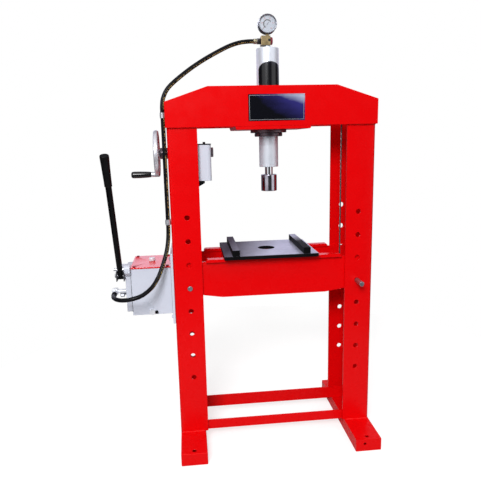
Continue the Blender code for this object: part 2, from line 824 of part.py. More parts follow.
def tie_bar(name, front, height):
    """A flat bar on the feet, from web to web."""
    reach = WEB_INSIDE - SEAT
    low = (-reach, front, COLUMN_FOOT)
    high = (reach, front + TIE_WALL, COLUMN_FOOT + height)
    return place(name, block(low, high), RED)


def beam_outline():
    """The front outline of the top beam, lower at its ends."""
    half = BEAM_WIDTH / 2
    crown = BEAM_CROWN_WIDTH / 2
    return [
        (-half, BEAM_BOTTOM),
        (half, BEAM_BOTTOM),
        (half, BEAM_END_TOP),
        (crown, BEAM_TOP),
        (-crown, BEAM_TOP),
        (-half, BEAM_END_TOP),
    ]


def beam_plate(name, side):
    """One face plate of the top beam, lapped over the columns."""
    y = side * (BEAM_FACE + BEAM_WALL / 2)
    return place(name, sheet([beam_outline()], BEAM_WALL, FRONT_VIEW, (0, y, 0), name), RED)


def crosshead():
    """The welded box that holds the cylinder: bottom plate, two ribs and a guide plate."""
    half = HEAD_PLATE_WIDTH / 2
    top = BEAM_BOTTOM - SEAT
    bottom = top - HEAD_PLATE_WALL
    outline = [
        (-half + HEAD_PLATE_TAPER, bottom),
        (half - HEAD_PLATE_TAPER, bottom),
        (half, top),
        (-half, top),
    ]
    depth = 2 * (BEAM_FACE + BEAM_WALL)
    item = place("crosshead", sheet([outline], depth, FRONT_VIEW, (0, 0, 0), "crosshead"), RED)
    inside = COLUMN_HALF_DEPTH
    ribs = []
    for side in (-1, 1):
        x = side * (half - HEAD_RIB_INSET)
        ribs.append(block(
            (x - HEAD_RIB_WALL / 2, -inside, top - OVERLAP),
            (x + HEAD_RIB_WALL / 2, inside, GUIDE_PLATE_TOP - OVERLAP),
        ))
    reach = half - HEAD_RIB_INSET + HEAD_RIB_WALL / 2 + OVERLAP
    guide = block((-reach, -inside, GUIDE_PLATE_TOP - GUIDE_PLATE_WALL), (reach, inside, GUIDE_PLATE_TOP))
    weld(item, several(ribs, "crosshead_ribs"), guide)
    cut(
        item,
        rod(
            (0, 0, bottom - OVERRUN),
            (0, 0, GUIDE_PLATE_TOP + OVERRUN),
            BARREL_RADIUS + SEAT,
            facets=FINE_FACETS,
        ),
    )
    rope = (SHEAVE_HEIGHT + SHEAVE_TREAD)
    cut(item, rod((-reach - OVERRUN, -ROPE_FRONT, rope), (reach + OVERRUN, -ROPE_FRONT, rope),
                  ROPE_SLOT_RADIUS, facets=SMALL_FACETS))
    return item


def frame():
    """Columns, feet, tie bars and the top beam."""
    left = column("left_column", -1)
    weld(left, *sheave_pin(DRUM_ROPE_X + SHEAVE_TREAD, SHEAVE_HEIGHT, -COLUMN_INSIDE))
    start = (-FRAME_HALF - OVERRUN, -WINCH_AXIS_FRONT, CRANK_HEIGHT)
    end = (-WEB_INSIDE + OVERRUN, -WINCH_AXIS_FRONT, CRANK_HEIGHT)
    cut(left, rod(start, end, SHAFT_RADIUS + CLIP_WALL, facets=SMALL_FACETS))
    column("right_column", 1)
    foot("left_foot", -1, False)
    foot("right_foot", 1, True)
    tie_bar("front_tie_bar", -COLUMN_INSIDE + COLUMN_BEND - COLUMN_WALL + SEAT, FRONT_TIE_HEIGHT)
    tie_bar("rear_tie_bar", REAR_TIE_SETBACK, REAR_TIE_HEIGHT)
    front = beam_plate("front_beam_plate", -1)
    weld(front, *sheave_pin(RIGHT_ROPE_X - SHEAVE_TREAD, SHEAVE_HEIGHT, -BEAM_FACE))
    beam_plate("rear_beam_plate", 1)
    crosshead()


# Cylinder, ram and what stands on the cylinder

def barrel():
    """The cylinder barrel: wide above, turned down below, bored from below, with a neck on top."""
    top = BARREL_TOP
    neck_top = top + NECK_HEIGHT
    shoulder = BEAM_BOTTOM - HEAD_PLATE_WALL - SEAT
    profile = [
        (PORT_RADIUS, neck_top),
        (NECK_RADIUS, neck_top),
        (NECK_RADIUS, top),
        (BARREL_RADIUS - BARREL_CHAMFER, top),
        (BARREL_RADIUS, top - BARREL_CHAMFER),
        (BARREL_RADIUS, shoulder),
        (BARREL_LOWER_RADIUS, shoulder),
        (BARREL_LOWER_RADIUS, BARREL_BOTTOM + BARREL_CHAMFER),
        (BARREL_LOWER_RADIUS - BARREL_CHAMFER, BARREL_BOTTOM),
        (BARREL_BORE, BARREL_BOTTOM),
        (BARREL_BORE, top - BARREL_CROWN),
        (PORT_RADIUS, top - BARREL_CROWN),
    ]
    turned("cylinder_barrel", profile, SILVER, facets=FINE_FACETS, ring=True)


def collar(name, radius, top, wall, look):
    """A ring round the turned-down part of the barrel."""
    inner = BARREL_LOWER_RADIUS + SEAT
    chamfer = BARREL_CHAMFER
    profile = [
        (radius - chamfer, top),
        (radius, top - chamfer),
        (radius, top - wall + chamfer),
        (radius - chamfer, top - wall),
        (inner, top - wall),
        (inner, top),
    ]
    return turned(name, profile, look, facets=FINE_FACETS, ring=True)


def collars():
    """The flange under the crosshead and the slotted ring nut that locks it."""
    flange_top = BEAM_BOTTOM - HEAD_PLATE_WALL - 2 * SEAT
    collar("cylinder_flange", FLANGE_RADIUS, flange_top, FLANGE_WALL, DARK_STEEL)
    nut_top = flange_top - FLANGE_WALL - SEAT
    nut = collar("cylinder_ring_nut", NUT_RADIUS, nut_top, NUT_WALL, DARK_STEEL)
    slots = []
    for index in range(NUT_SLOTS):
        turn = Matrix.Rotation(2 * pi * index / NUT_SLOTS + pi / NUT_SLOTS, 4, "Z")
        slot = block(
            (NUT_RADIUS - NUT_SLOT_DEPTH, -NUT_SLOT_WIDTH / 2, nut_top - NUT_WALL - OVERRUN),
            (NUT_RADIUS + OVERRUN, NUT_SLOT_WIDTH / 2, nut_top + OVERRUN / 20),
        )
        slot.transform(turn)
        slots.append(slot)
    cut(nut, several(slots, "spanner_slots"))


def gland():
    """The bush that closes the barrel's lower end and guides the rod."""
    bottom = BARREL_BOTTOM + BARREL_CHAMFER
    top = bottom + GLAND_HEIGHT
    outer = BARREL_BORE - SEAT
    inner = ROD_RADIUS + RUNNING
    profile = [(outer, top), (outer, bottom), (inner, bottom), (inner, top)]
    turned("cylinder_gland", profile, BRONZE, ring=True)
    return top


def ram(gland_top):
    """Piston with its rod, its seal, the return spring round the rod, and the ram head."""
    top = BARREL_TOP - BARREL_CROWN - PISTON_GAP
    bottom = top - PISTON_HEIGHT
    outer = BARREL_BORE - SEAT
    groove = outer - SEAL_WALL
    groove_top = top - PISTON_HEIGHT / 3
    groove_bottom = groove_top - SEAL_HEIGHT - 2 * SEAT
    socket = RAM_HEAD_TOP - RAM_HEAD_SOCKET + SEAT
    profile = [
        (0, top),
        (outer, top),
        (outer, groove_top),
        (groove, groove_top),
        (groove, groove_bottom),
        (outer, groove_bottom),
        (outer, bottom),
        (ROD_RADIUS, bottom),
        (ROD_RADIUS, socket),
        (0, socket),
    ]
    turned("piston_and_rod", profile, CHROME)
    seal_top = groove_top - SEAT
    profile = [
        (BARREL_BORE - RUNNING, seal_top),
        (BARREL_BORE - RUNNING, seal_top - SEAL_HEIGHT),
        (groove + SEAT, seal_top - SEAL_HEIGHT),
        (groove + SEAT, seal_top),
    ]
    turned("piston_seal", profile, RUBBER, ring=True)
    chamfer = RAM_HEAD_CHAMFER
    bore = ROD_RADIUS + SEAT
    profile = [
        (bore, RAM_HEAD_TOP),
        (RAM_HEAD_RADIUS - chamfer, RAM_HEAD_TOP),
        (RAM_HEAD_RADIUS, RAM_HEAD_TOP - chamfer),
        (RAM_HEAD_RADIUS, RAM_HEAD_BOTTOM + chamfer),
        (RAM_HEAD_RADIUS - chamfer, RAM_HEAD_BOTTOM),
        (0, RAM_HEAD_BOTTOM),
        (0, socket - SEAT),
        (bore, socket - SEAT),
    ]
    head = turned("ram_head", profile, CHROME, facets=FINE_FACETS, ring=True)
    height = RAM_HEAD_TOP - RAM_HEAD_SOCKET / 2
    cut(head, rod((0, -RAM_HEAD_RADIUS - OVERRUN, height), (0, -bore + OVERRUN, height),
                  SET_SCREW_RADIUS, facets=SMALL_FACETS))
    low = gland_top + SPRING_WIRE + SEAT
    high = bottom - SPRING_WIRE - SEAT
    count = SPRING_TURNS * SPRING_POINTS
    coil = []
    for index in range(count + 1):
        angle = 2 * pi * index / SPRING_POINTS
        height = low + (high - low) * index / count
        coil.append((SPRING_RADIUS * cos(angle), SPRING_RADIUS * sin(angle), height))
    tube("return_spring", coil, SPRING_WIRE, STEEL, 1)


def manifold():
    """The brass block on the neck, drilled for the hose and the gauge."""
    face = HOSE_PORT_FACE
    low = (face, -MANIFOLD_DEPTH / 2, MANIFOLD_BOTTOM)
    high = (face + MANIFOLD_WIDTH, MANIFOLD_DEPTH / 2, MANIFOLD_TOP)
    item = place("manifold_block", block(low, high), BRASS)
    bevel(item, MANIFOLD_BEVEL, 1)
    cut(
        item,
        rod(
            (0, 0, MANIFOLD_BOTTOM - OVERRUN),
            (0, 0, MANIFOLD_TOP + OVERRUN),
            PORT_RADIUS,
            facets=SMALL_FACETS,
        ),
        rod(
            (face - OVERRUN, 0, HOSE_PORT_HEIGHT),
            (0, 0, HOSE_PORT_HEIGHT),
            PORT_RADIUS,
            facets=SMALL_FACETS,
        ),
    )


def gauge():
    """A dial gauge on a stem: cup, dial, needle and lens."""
    centre = Vector((0, 0, GAUGE_CENTRE))
    half = GAUGE_DEPTH / 2
    inner = GAUGE_RADIUS - GAUGE_WALL
    opening = GAUGE_RADIUS - GAUGE_RIM
    floor = -half + GAUGE_WALL
    lens_back = half - GAUGE_WALL - LENS_WALL - 2 * SEAT
    profile = [
        (opening, half),
        (GAUGE_RADIUS - GAUGE_WALL, half),
        (GAUGE_RADIUS, half - GAUGE_WALL),
        (GAUGE_RADIUS, half - 3 * GAUGE_WALL),
        (GAUGE_RADIUS - GAUGE_WALL / 2, half - 3 * GAUGE_WALL),
        (GAUGE_RADIUS - GAUGE_WALL / 2, -half + GAUGE_WALL),
        (GAUGE_RADIUS - 3 * GAUGE_WALL / 2, -half),
        (0, -half),
        (0, floor),
        (inner - GAUGE_WALL, floor),
        (inner - GAUGE_WALL, half - GAUGE_WALL),
        (opening, half - GAUGE_WALL),
    ]
    case = turned("gauge_case", profile, CHROME, centre, (0, -1, 0), ring=True)
    stem_top = GAUGE_CENTRE - GAUGE_RADIUS + GAUGE_WALL
    weld(case, rod((0, 0, MANIFOLD_TOP + SEAT), (0, 0, stem_top), GAUGE_STEM_RADIUS, facets=HEX_FACETS))
    dial_radius = inner - GAUGE_WALL - SEAT
    dial_front = lens_back - 3 * NEEDLE_WALL
    profile = [
        (0, dial_front),
        (dial_radius, dial_front),
        (dial_radius, floor + SEAT),
        (0, floor + SEAT),
    ]
    turned("gauge_dial", profile, WHITE, centre, (0, -1, 0))
    profile = [
        (0, lens_back + LENS_WALL),
        (dial_radius, lens_back + LENS_WALL),
        (dial_radius, lens_back),
        (0, lens_back),
    ]
    turned("gauge_lens", profile, GLASS, centre, (0, -1, 0))
    needle_y = -(dial_front + SEAT + NEEDLE_WALL / 2)
    reach = NEEDLE_LENGTH
    width = NEEDLE_WIDTH / 2
    tip = width / 4
    tail = -NEEDLE_TAIL
    outline = [(tail, -width), (0, -width), (reach, -tip), (reach, tip), (0, width), (tail, width)]
    mesh = sheet([outline], NEEDLE_WALL, FRONT_VIEW, (0, 0, 0), "gauge_needle")
    mesh.transform(Matrix.Rotation(-NEEDLE_START, 4, "Y"))
    needle = place("gauge_needle", mesh, BLACK, Matrix.Translation(centre + Vector((0, needle_y, 0))))
    hub = rod((0, -NEEDLE_WALL / 2, 0), (0, NEEDLE_WALL / 2, 0), NEEDLE_HUB, facets=SMALL_FACETS)
    tool = hidden(hub, needle.matrix_world)
    boolean(needle, tool, "UNION")


def part_way(start, end, shares):
    """A point with its own share of the way from start to end in each direction."""
    return Vector([a + (b - a) * share for a, b, share in zip(start, end, shares)])


def hose_knots(start, end):
    """The hand-chosen points of the hose, from the manifold's fitting to the pump's."""
    upper = Vector((HOSE_COLUMN_X, -HOSE_FRONT, UPPER_CLIP_HEIGHT))
    lower = Vector((HOSE_COLUMN_X, -HOSE_FRONT, LOWER_CLIP_HEIGHT))
    knots = [start]
    knots += [part_way(start, upper, shares) for shares in HOSE_UPPER_SHARES]
    knots += [upper.lerp(lower, share) for share in HOSE_MIDDLE_SHARES]
    knots += [part_way(lower, end, shares) for shares in HOSE_LOWER_SHARES]
    knots += [end - Vector((0, 2 * HOSE_RADIUS, 0)), end - Vector((0, HOSE_RADIUS, 0)), end]
    return knots


def hose_fittings_and_hose():
    """The hose with the crimped fitting at each of its ends."""
    face = HOSE_PORT_FACE - SEAT
    nut_end = face - HOSE_NUT_LENGTH
    crimp_end = nut_end - CRIMP_LENGTH
    height = HOSE_PORT_HEIGHT
    nut = rod((face, 0, height), (nut_end, 0, height), HOSE_NUT_RADIUS, facets=HEX_FACETS)
    upper = place("upper_hose_fitting", nut, STEEL)
    weld(
        upper,
        rod((nut_end + OVERLAP, 0, height), (crimp_end, 0, height), CRIMP_RADIUS, facets=SMALL_FACETS),
    )
    y = -OUTLET_FRONT
    z = OUTLET_HEIGHT
    left = BANJO_X - BANJO_WIDTH / 2
    right = BANJO_X + BANJO_WIDTH / 2
    nipple = rod((PUMP_FACE - SEAT, y, z), (right - OVERLAP, y, z), OUTLET_RADIUS, facets=SMALL_FACETS)
    lower = place("lower_hose_fitting", nipple, STEEL)
    crimp_start = -LOWER_CRIMP_START
    crimp_front = crimp_start - LOWER_CRIMP_LENGTH
    weld(
        lower,
        rod((left, y, z), (right, y, z), BANJO_RADIUS),
        rod((left - BOLT_HEAD, y, z), (left + OVERLAP, y, z), HOSE_NUT_RADIUS, facets=HEX_FACETS),
        rod(
            (BANJO_X, y, z),
            (BANJO_X, crimp_start - OVERLAP, z),
            BANJO_WIDTH / 2 - OVERLAP,
            facets=SMALL_FACETS,
        ),
        rod((BANJO_X, crimp_start, z), (BANJO_X, crimp_front, z), CRIMP_RADIUS, facets=SMALL_FACETS),
    )
    start = Vector((crimp_end - SEAT, 0, height))
    end = Vector((BANJO_X, crimp_front - SEAT, z))
    route = smooth_route(hose_knots(start, end), HOSE_POINT_SPACING)
    tube("hydraulic_hose", route, HOSE_RADIUS, HOSE_BLACK, 2)


def hose_clip(name, height):
    """One clip that holds the hose to the left column, with its screw."""
    band = HOSE_RADIUS + SEAT
    face = -FRAME_HALF - SEAT
    low = height - CLIP_WIDTH / 2
    high = height + CLIP_WIDTH / 2
    x = HOSE_COLUMN_X
    y = -HOSE_FRONT
    item = place(name, rod((x, y, low), (x, y, high), band + CLIP_WALL, facets=MEDIUM_FACETS), STEEL)
    screw_y = y + HOSE_RADIUS + (CLIP_TAB + CLIP_SCREW_RADIUS) / 2
    base = face - CLIP_WALL
    weld(
        item,
        block((base, y, low), (face, y + HOSE_RADIUS + CLIP_TAB, high)),
        rod((base + CLIP_WALL / 2, screw_y, height), (base - CLIP_SCREW_HEIGHT, screw_y, height),
            CLIP_SCREW_RADIUS, facets=HEX_FACETS),
    )
    cut(item, rod((x, y, low - OVERRUN), (x, y, high + OVERRUN), band, facets=MEDIUM_FACETS))
    return item


# Bed

def rail_outline():
    """The web of a bed rail: straight below, rising at the ends, with a saddle for each pin."""
    half = RAIL_LENGTH / 2
    flat = RAIL_FLAT / 2
    slope = RAIL_END_RISE / (half - flat)
    radius = PIN_RADIUS + SEAT
    steps = 8

    def edge(x):
        return RAIL_BOTTOM + slope * (x - flat)

    right = [(flat, RAIL_BOTTOM), (HOLE_X - radius, edge(HOLE_X - radius))]
    right += [
        (HOLE_X - radius * cos(pi * i / steps), PIN_HEIGHT + radius * sin(pi * i / steps))
        for i in range(steps + 1)
    ]
    right += [(HOLE_X + radius, edge(HOLE_X + radius)), (half, edge(half)), (half, RAIL_TOP)]
    left = [(-x, z) for x, z in reversed(right)]
    return left + right


def rail(name, side):
    """One bed rail: a web with a strip along the middle of its top."""
    y = side * (RAIL_GAP + RAIL_WALL) / 2
    item = place(name, sheet([rail_outline()], RAIL_WALL, FRONT_VIEW, (0, y, 0), name), RED)
    half = STRIP_LENGTH / 2
    outline = rounded([
        (-half, RAIL_TOP - OVERLAP, 0),
        (half, RAIL_TOP - OVERLAP, 0),
        (half, BED_TOP, STRIP_CORNER),
        (-half, BED_TOP, STRIP_CORNER),
    ])
    face = RAIL_GAP / 2 + RAIL_WALL + STRIP_PROUD
    middle = side * (face - STRIP_WIDTH / 2)
    weld(item, sheet([outline], STRIP_WIDTH, FRONT_VIEW, (0, middle, 0), "strip"))
    return item


def bed_pin(name, side, proud):
    """A long pin through both flanges of a column, under the bed's saddles."""
    front = -COLUMN_HALF_DEPTH - proud
    chamfer = PIN_CHAMFER
    profile = [
        (0, PIN_LENGTH),
        (PIN_RADIUS - chamfer, PIN_LENGTH),
        (PIN_RADIUS, PIN_LENGTH - chamfer),
        (PIN_RADIUS, chamfer),
        (PIN_RADIUS - chamfer, 0),
        (0, 0),
    ]
    turned(name, profile, STEEL, (side * HOLE_X, front, PIN_HEIGHT), (0, 1, 0), facets=MEDIUM_FACETS)


def bed():
    """Rails with the spacers between them, the pins they rest on and the loose press plate."""
    front = rail("front_bed_rail", -1)
    for x in (LEFT_ROPE_X + SHEAVE_TREAD, RIGHT_ROPE_X - SHEAVE_TREAD):
        weld(front, *sheave_pin(x, PULLEY_HEIGHT, -RAIL_GAP / 2))
    rear = rail("rear_bed_rail", 1)
    low = RAIL_TOP - SPACER_HEIGHT
    for side in (-1, 1):
        x = side * SPACER_SPREAD / 2
        weld(rear, block(
            (x - SPACER_WALL / 2, -RAIL_GAP / 2 + SEAT, low),
            (x + SPACER_WALL / 2, RAIL_GAP / 2 + OVERLAP, RAIL_TOP - SPACER_WALL),
        ))
    bed_pin("left_bed_pin", -1, LEFT_PIN_PROUD)
    bed_pin("right_bed_pin", 1, RIGHT_PIN_PROUD)
    left = PLATE_SHIFT - PLATE_WIDTH / 2
    right = PLATE_SHIFT + PLATE_WIDTH / 2
    depth = PLATE_DEPTH / 2
    outline = [(left, -depth), (right, -depth), (right, depth), (left, depth)]
    hole = circle(PLATE_SHIFT, 0, PLATE_HOLE, FACETS)
    middle = (PLATE_BOTTOM + PLATE_TOP) / 2
    mesh = sheet([outline, hole], PLATE_WALL, TOP_VIEW, (0, 0, middle), "press_plate")
    plate = place("press_plate", mesh, BLACK)
    for x in (left + BAR_LEFT_INSET, right - BAR_RIGHT_INSET):
        weld(plate, block(
            (x - BAR_WIDTH / 2, -depth + SEAT, PLATE_TOP - OVERLAP),
            (x + BAR_WIDTH / 2, depth - SEAT, PLATE_TOP + BAR_HEIGHT),
        ))


# Rope and sheaves

def sheave(name, x, height):
    """A grooved wheel for the rope, turning about the Y direction."""
    half = SHEAVE_WIDTH / 2
    root = SHEAVE_TREAD - ROPE_RADIUS - SEAT
    lip = half / 3
    profile = [
        (SHEAVE_BORE, half),
        (SHEAVE_RADIUS - SHEAVE_PIN_BOSS / 9, half),
        (SHEAVE_RADIUS, half - lip / 2),
        (SHEAVE_RADIUS, half - lip),
        (root, ROPE_RADIUS),
        (root, -ROPE_RADIUS),
        (SHEAVE_RADIUS, -half + lip),
        (SHEAVE_RADIUS, -half + lip / 2),
        (SHEAVE_RADIUS - SHEAVE_PIN_BOSS / 9, -half),
        (SHEAVE_BORE, -half),
    ]
    turned(name, profile, STEEL, (x, -ROPE_FRONT, height), (0, -1, 0), facets=MEDIUM_FACETS, ring=True)


def ropes():
    """The sheaves and the one rope over them, in the stretches that move differently."""
    right = RIGHT_ROPE_X - SHEAVE_TREAD
    left = LEFT_ROPE_X + SHEAVE_TREAD
    drum_sheave = DRUM_ROPE_X + SHEAVE_TREAD
    y = -ROPE_FRONT
    sheave("top_left_sheave", drum_sheave, SHEAVE_HEIGHT)
    sheave("top_right_sheave", right, SHEAVE_HEIGHT)
    sheave("bed_left_pulley", left, PULLEY_HEIGHT)
    sheave("bed_right_pulley", right, PULLEY_HEIGHT)
    across = (1, 0, 0)
    up = (0, 0, 1)
    steps = 7
    top = [Vector((DRUM_ROPE_X, y, DRUM_HEIGHT))]
    top += arc((drum_sheave, y, SHEAVE_HEIGHT), SHEAVE_TREAD, pi, pi / 2, steps, across, up)
    top += arc((right, y, SHEAVE_HEIGHT), SHEAVE_TREAD, pi / 2, 0, steps, across, up)
    tube("upper_rope", top, ROPE_RADIUS, ROPE_STEEL, 2)
    low = arc((left, y, PULLEY_HEIGHT), SHEAVE_TREAD, pi, 3 * pi / 2, steps, across, up)
    low += arc((right, y, PULLEY_HEIGHT), SHEAVE_TREAD, 3 * pi / 2, 2 * pi, steps, across, up)
    tube("lower_rope", low, ROPE_RADIUS, ROPE_STEEL, 2)
    bottom = PULLEY_HEIGHT + SEAT
    left = [(LEFT_ROPE_X, y, bottom), (LEFT_ROPE_X, y, ANCHOR_HEIGHT - SEAT)]
    right = [(RIGHT_ROPE_X, y, bottom), (RIGHT_ROPE_X, y, SHEAVE_HEIGHT - SEAT)]
    tube("left_rope_fall", left, ROPE_RADIUS, ROPE_STEEL, 2)
    tube("right_rope_fall", right, ROPE_RADIUS, ROPE_STEEL, 2)


# Winch

def involute(angle):
    """The involute function of a pressure angle."""
    return tan(angle) - angle


def gear_outline(teeth, phase):
    """A spur gear's outline with involute flanks, a tooth centred on the phase angle."""
    pitch = GEAR_MODULE * teeth / 2
    base = pitch * cos(PRESSURE_ANGLE)
    tip = pitch + ADDENDUM_SHARE * GEAR_MODULE
    root = pitch - DEDENDUM_SHARE * GEAR_MODULE
    at_pitch = pi / (2 * teeth) - GEAR_BACKLASH / (2 * pitch) + involute(PRESSURE_ANGLE)
    start = max(base, root)
    flank = []
    for share in FLANK_SHARES:
        radius = start + (tip - start) * share
        flank.append((radius, at_pitch - involute(acos(min(1, base / radius)))))
    points = []
    for tooth in range(teeth):
        middle = phase + 2 * pi * tooth / teeth
        side = [(root, flank[0][1])] + flank[1:]
        polar = [(radius, middle - half) for radius, half in side]
        polar += [(radius, middle + half) for radius, half in reversed(side)]
        points += [(radius * cos(angle), radius * sin(angle)) for radius, angle in polar]
    return points


def gear_mesh(teeth, phase, left, width, height):
    """A spur gear about an X axis, from its left face to the right."""
    centre = (left + width / 2, -WINCH_AXIS_FRONT, height)
    return sheet([gear_outline(teeth, phase)], width, SIDE_VIEW, centre, "gear")


def winch_bracket():
    """Base plate on the web, shelf, two gussets, the drum's axle and the rope's anchor."""
    front = -WINCH_FRONT
    rear = WINCH_REAR
    back = -WEB_INSIDE + SEAT
    foot_z = SHELF_HEIGHT - SHELF_WALL + OVERLAP
    bottom = foot_z - GUSSET_DROP
    item = place("winch_bracket", block((back, front, bottom), (BASE_FACE, rear, BASE_TOP)), BLACK)
    reach = -FRAME_HALF + SHELF_REACH
    shelf_low = SHELF_HEIGHT - SHELF_WALL
    shelf = block((BASE_FACE - OVERLAP, front + SEAT, shelf_low), (reach, rear - SEAT, SHELF_HEIGHT))
    low = bottom + OVERLAP
    outline = [
        (BASE_FACE - OVERLAP, low),
        (BASE_FACE + BASE_WALL, low),
        (reach, foot_z - SHELF_WALL),
        (reach, foot_z),
        (BASE_FACE - OVERLAP, foot_z),
    ]
    gussets = several([
        sheet([outline], GUSSET_WALL, FRONT_VIEW, (0, y, 0), "gusset")
        for y in (front + OVERLAP + GUSSET_WALL / 2, rear - OVERLAP - GUSSET_WALL / 2)
    ], "gussets")
    anchor = rod((LEFT_ROPE_X, -ROPE_FRONT, ANCHOR_HEIGHT), (LEFT_ROPE_X, -ROPE_FRONT, foot_z), ANCHOR_RADIUS,
                 facets=SMALL_FACETS)
    axle_y = -WINCH_AXIS_FRONT
    axle_end = HOUSING_RIGHT - HOUSING_WALL - SEAT
    axle = rod((BASE_FACE - OVERLAP, axle_y, DRUM_HEIGHT), (axle_end, axle_y, DRUM_HEIGHT), DRUM_AXLE_RADIUS,
               facets=MEDIUM_FACETS)
    weld(item, shelf, gussets, anchor, axle)
    cut(item, rod((back - OVERRUN, axle_y, CRANK_HEIGHT), (BASE_FACE + OVERRUN, axle_y, CRANK_HEIGHT),
                  SHAFT_RADIUS + RUNNING, facets=MEDIUM_FACETS))


def winch_housing():
    """The cover over the gears and the drum, open towards the base plate, with its cap."""
    front = -WINCH_FRONT
    rear = WINCH_REAR
    corner = HOUSING_CORNER
    outline = rounded([
        (HOUSING_LEFT, front, 0),
        (HOUSING_RIGHT, front, corner),
        (HOUSING_RIGHT, rear, corner),
        (HOUSING_LEFT, rear, 0),
    ])
    wall = HOUSING_WALL
    inner = rounded([
        (HOUSING_LEFT - OVERRUN, front + wall, 0),
        (HOUSING_RIGHT - wall, front + wall, corner - wall),
        (HOUSING_RIGHT - wall, rear - wall, corner - wall),
        (HOUSING_LEFT - OVERRUN, rear - wall, 0),
    ])
    height = HOUSING_TOP - HOUSING_BOTTOM
    middle = (HOUSING_TOP + HOUSING_BOTTOM) / 2
    item = place("winch_housing", sheet([outline], height, TOP_VIEW, (0, 0, middle), "winch_housing"), GREY)
    cut(item, sheet([inner], height + 2 * OVERRUN, TOP_VIEW, (0, 0, middle), "housing_hollow"))
    y = -WINCH_AXIS_FRONT
    right = HOUSING_RIGHT
    cut(item, rod((right - wall - OVERRUN, y, CRANK_HEIGHT), (right + OVERRUN, y, CRANK_HEIGHT),
                  SHAFT_RADIUS + RUNNING, facets=MEDIUM_FACETS))
    lip = CAP_LIP
    base = HOUSING_TOP + SEAT
    cap_outline = rounded([
        (HOUSING_LEFT, front - lip, 0),
        (HOUSING_RIGHT + lip, front - lip, corner),
        (HOUSING_RIGHT + lip, rear + lip, corner),
        (HOUSING_LEFT, rear + lip, 0),
    ])
    slot = circle(DRUM_ROPE_X, -ROPE_FRONT, ROPE_SLOT_RADIUS)
    mesh = sheet([cap_outline, slot], CAP_WALL, TOP_VIEW, (0, 0, base + CAP_WALL / 2), "winch_cap")
    cap = place("winch_cap", mesh, BLACK)
    knob_x = HOUSING_RIGHT - 2 * CAP_KNOB_RADIUS - corner
    weld(cap, rod((knob_x, y, base + CAP_WALL - OVERLAP), (knob_x, y, base + CAP_WALL + CAP_KNOB_HEIGHT),
                  CAP_KNOB_RADIUS, facets=SMALL_FACETS))


def winch_drum():
    """The rope drum, its cheeks and the large gear, bored for the axle."""
    y = -WINCH_AXIS_FRONT
    bore = DRUM_AXLE_RADIUS + RUNNING
    item = place("winch_drum", gear_mesh(GEAR_TEETH, pi / 2, GEAR_LEFT, GEAR_WIDTH, DRUM_HEIGHT), STEEL)
    end = DRUM_LEFT + DRUM_LENGTH
    weld(
        item,
        rod((DRUM_LEFT - OVERLAP, y, DRUM_HEIGHT), (end, y, DRUM_HEIGHT), DRUM_RADIUS),
        rod((end, y, DRUM_HEIGHT), (end + DRUM_CHEEK_WALL, y, DRUM_HEIGHT), DRUM_CHEEK_RADIUS),
    )
    bore_start = (GEAR_LEFT - OVERRUN, y, DRUM_HEIGHT)
    bore_end = (end + DRUM_CHEEK_WALL + OVERRUN, y, DRUM_HEIGHT)
    cut(item, rod(bore_start, bore_end, bore, facets=MEDIUM_FACETS))


def crank_shaft():
    """The shaft from the handwheel to the cover, with the pinion and the end nut."""
    y = -WINCH_AXIS_FRONT
    outside = -FRAME_HALF - WHEEL_OFFSET
    phase = pi / 2 + pi / PINION_TEETH
    left = GEAR_LEFT - (PINION_WIDTH - GEAR_WIDTH) / 2
    mesh = gear_mesh(PINION_TEETH, phase, left, PINION_WIDTH, CRANK_HEIGHT)
    item = place("crank_shaft", mesh, STEEL)
    nut = HOUSING_RIGHT + SEAT
    weld(
        item,
        rod(
            (outside - WHEEL_HUB_LENGTH / 4, y, CRANK_HEIGHT),
            (nut + OVERLAP, y, CRANK_HEIGHT),
            SHAFT_RADIUS,
            facets=MEDIUM_FACETS,
        ),
        rod(
            (nut, y, CRANK_HEIGHT),
            (nut + SHAFT_NUT_LENGTH, y, CRANK_HEIGHT),
            SHAFT_NUT_RADIUS,
            facets=HEX_FACETS,
        ),
    )


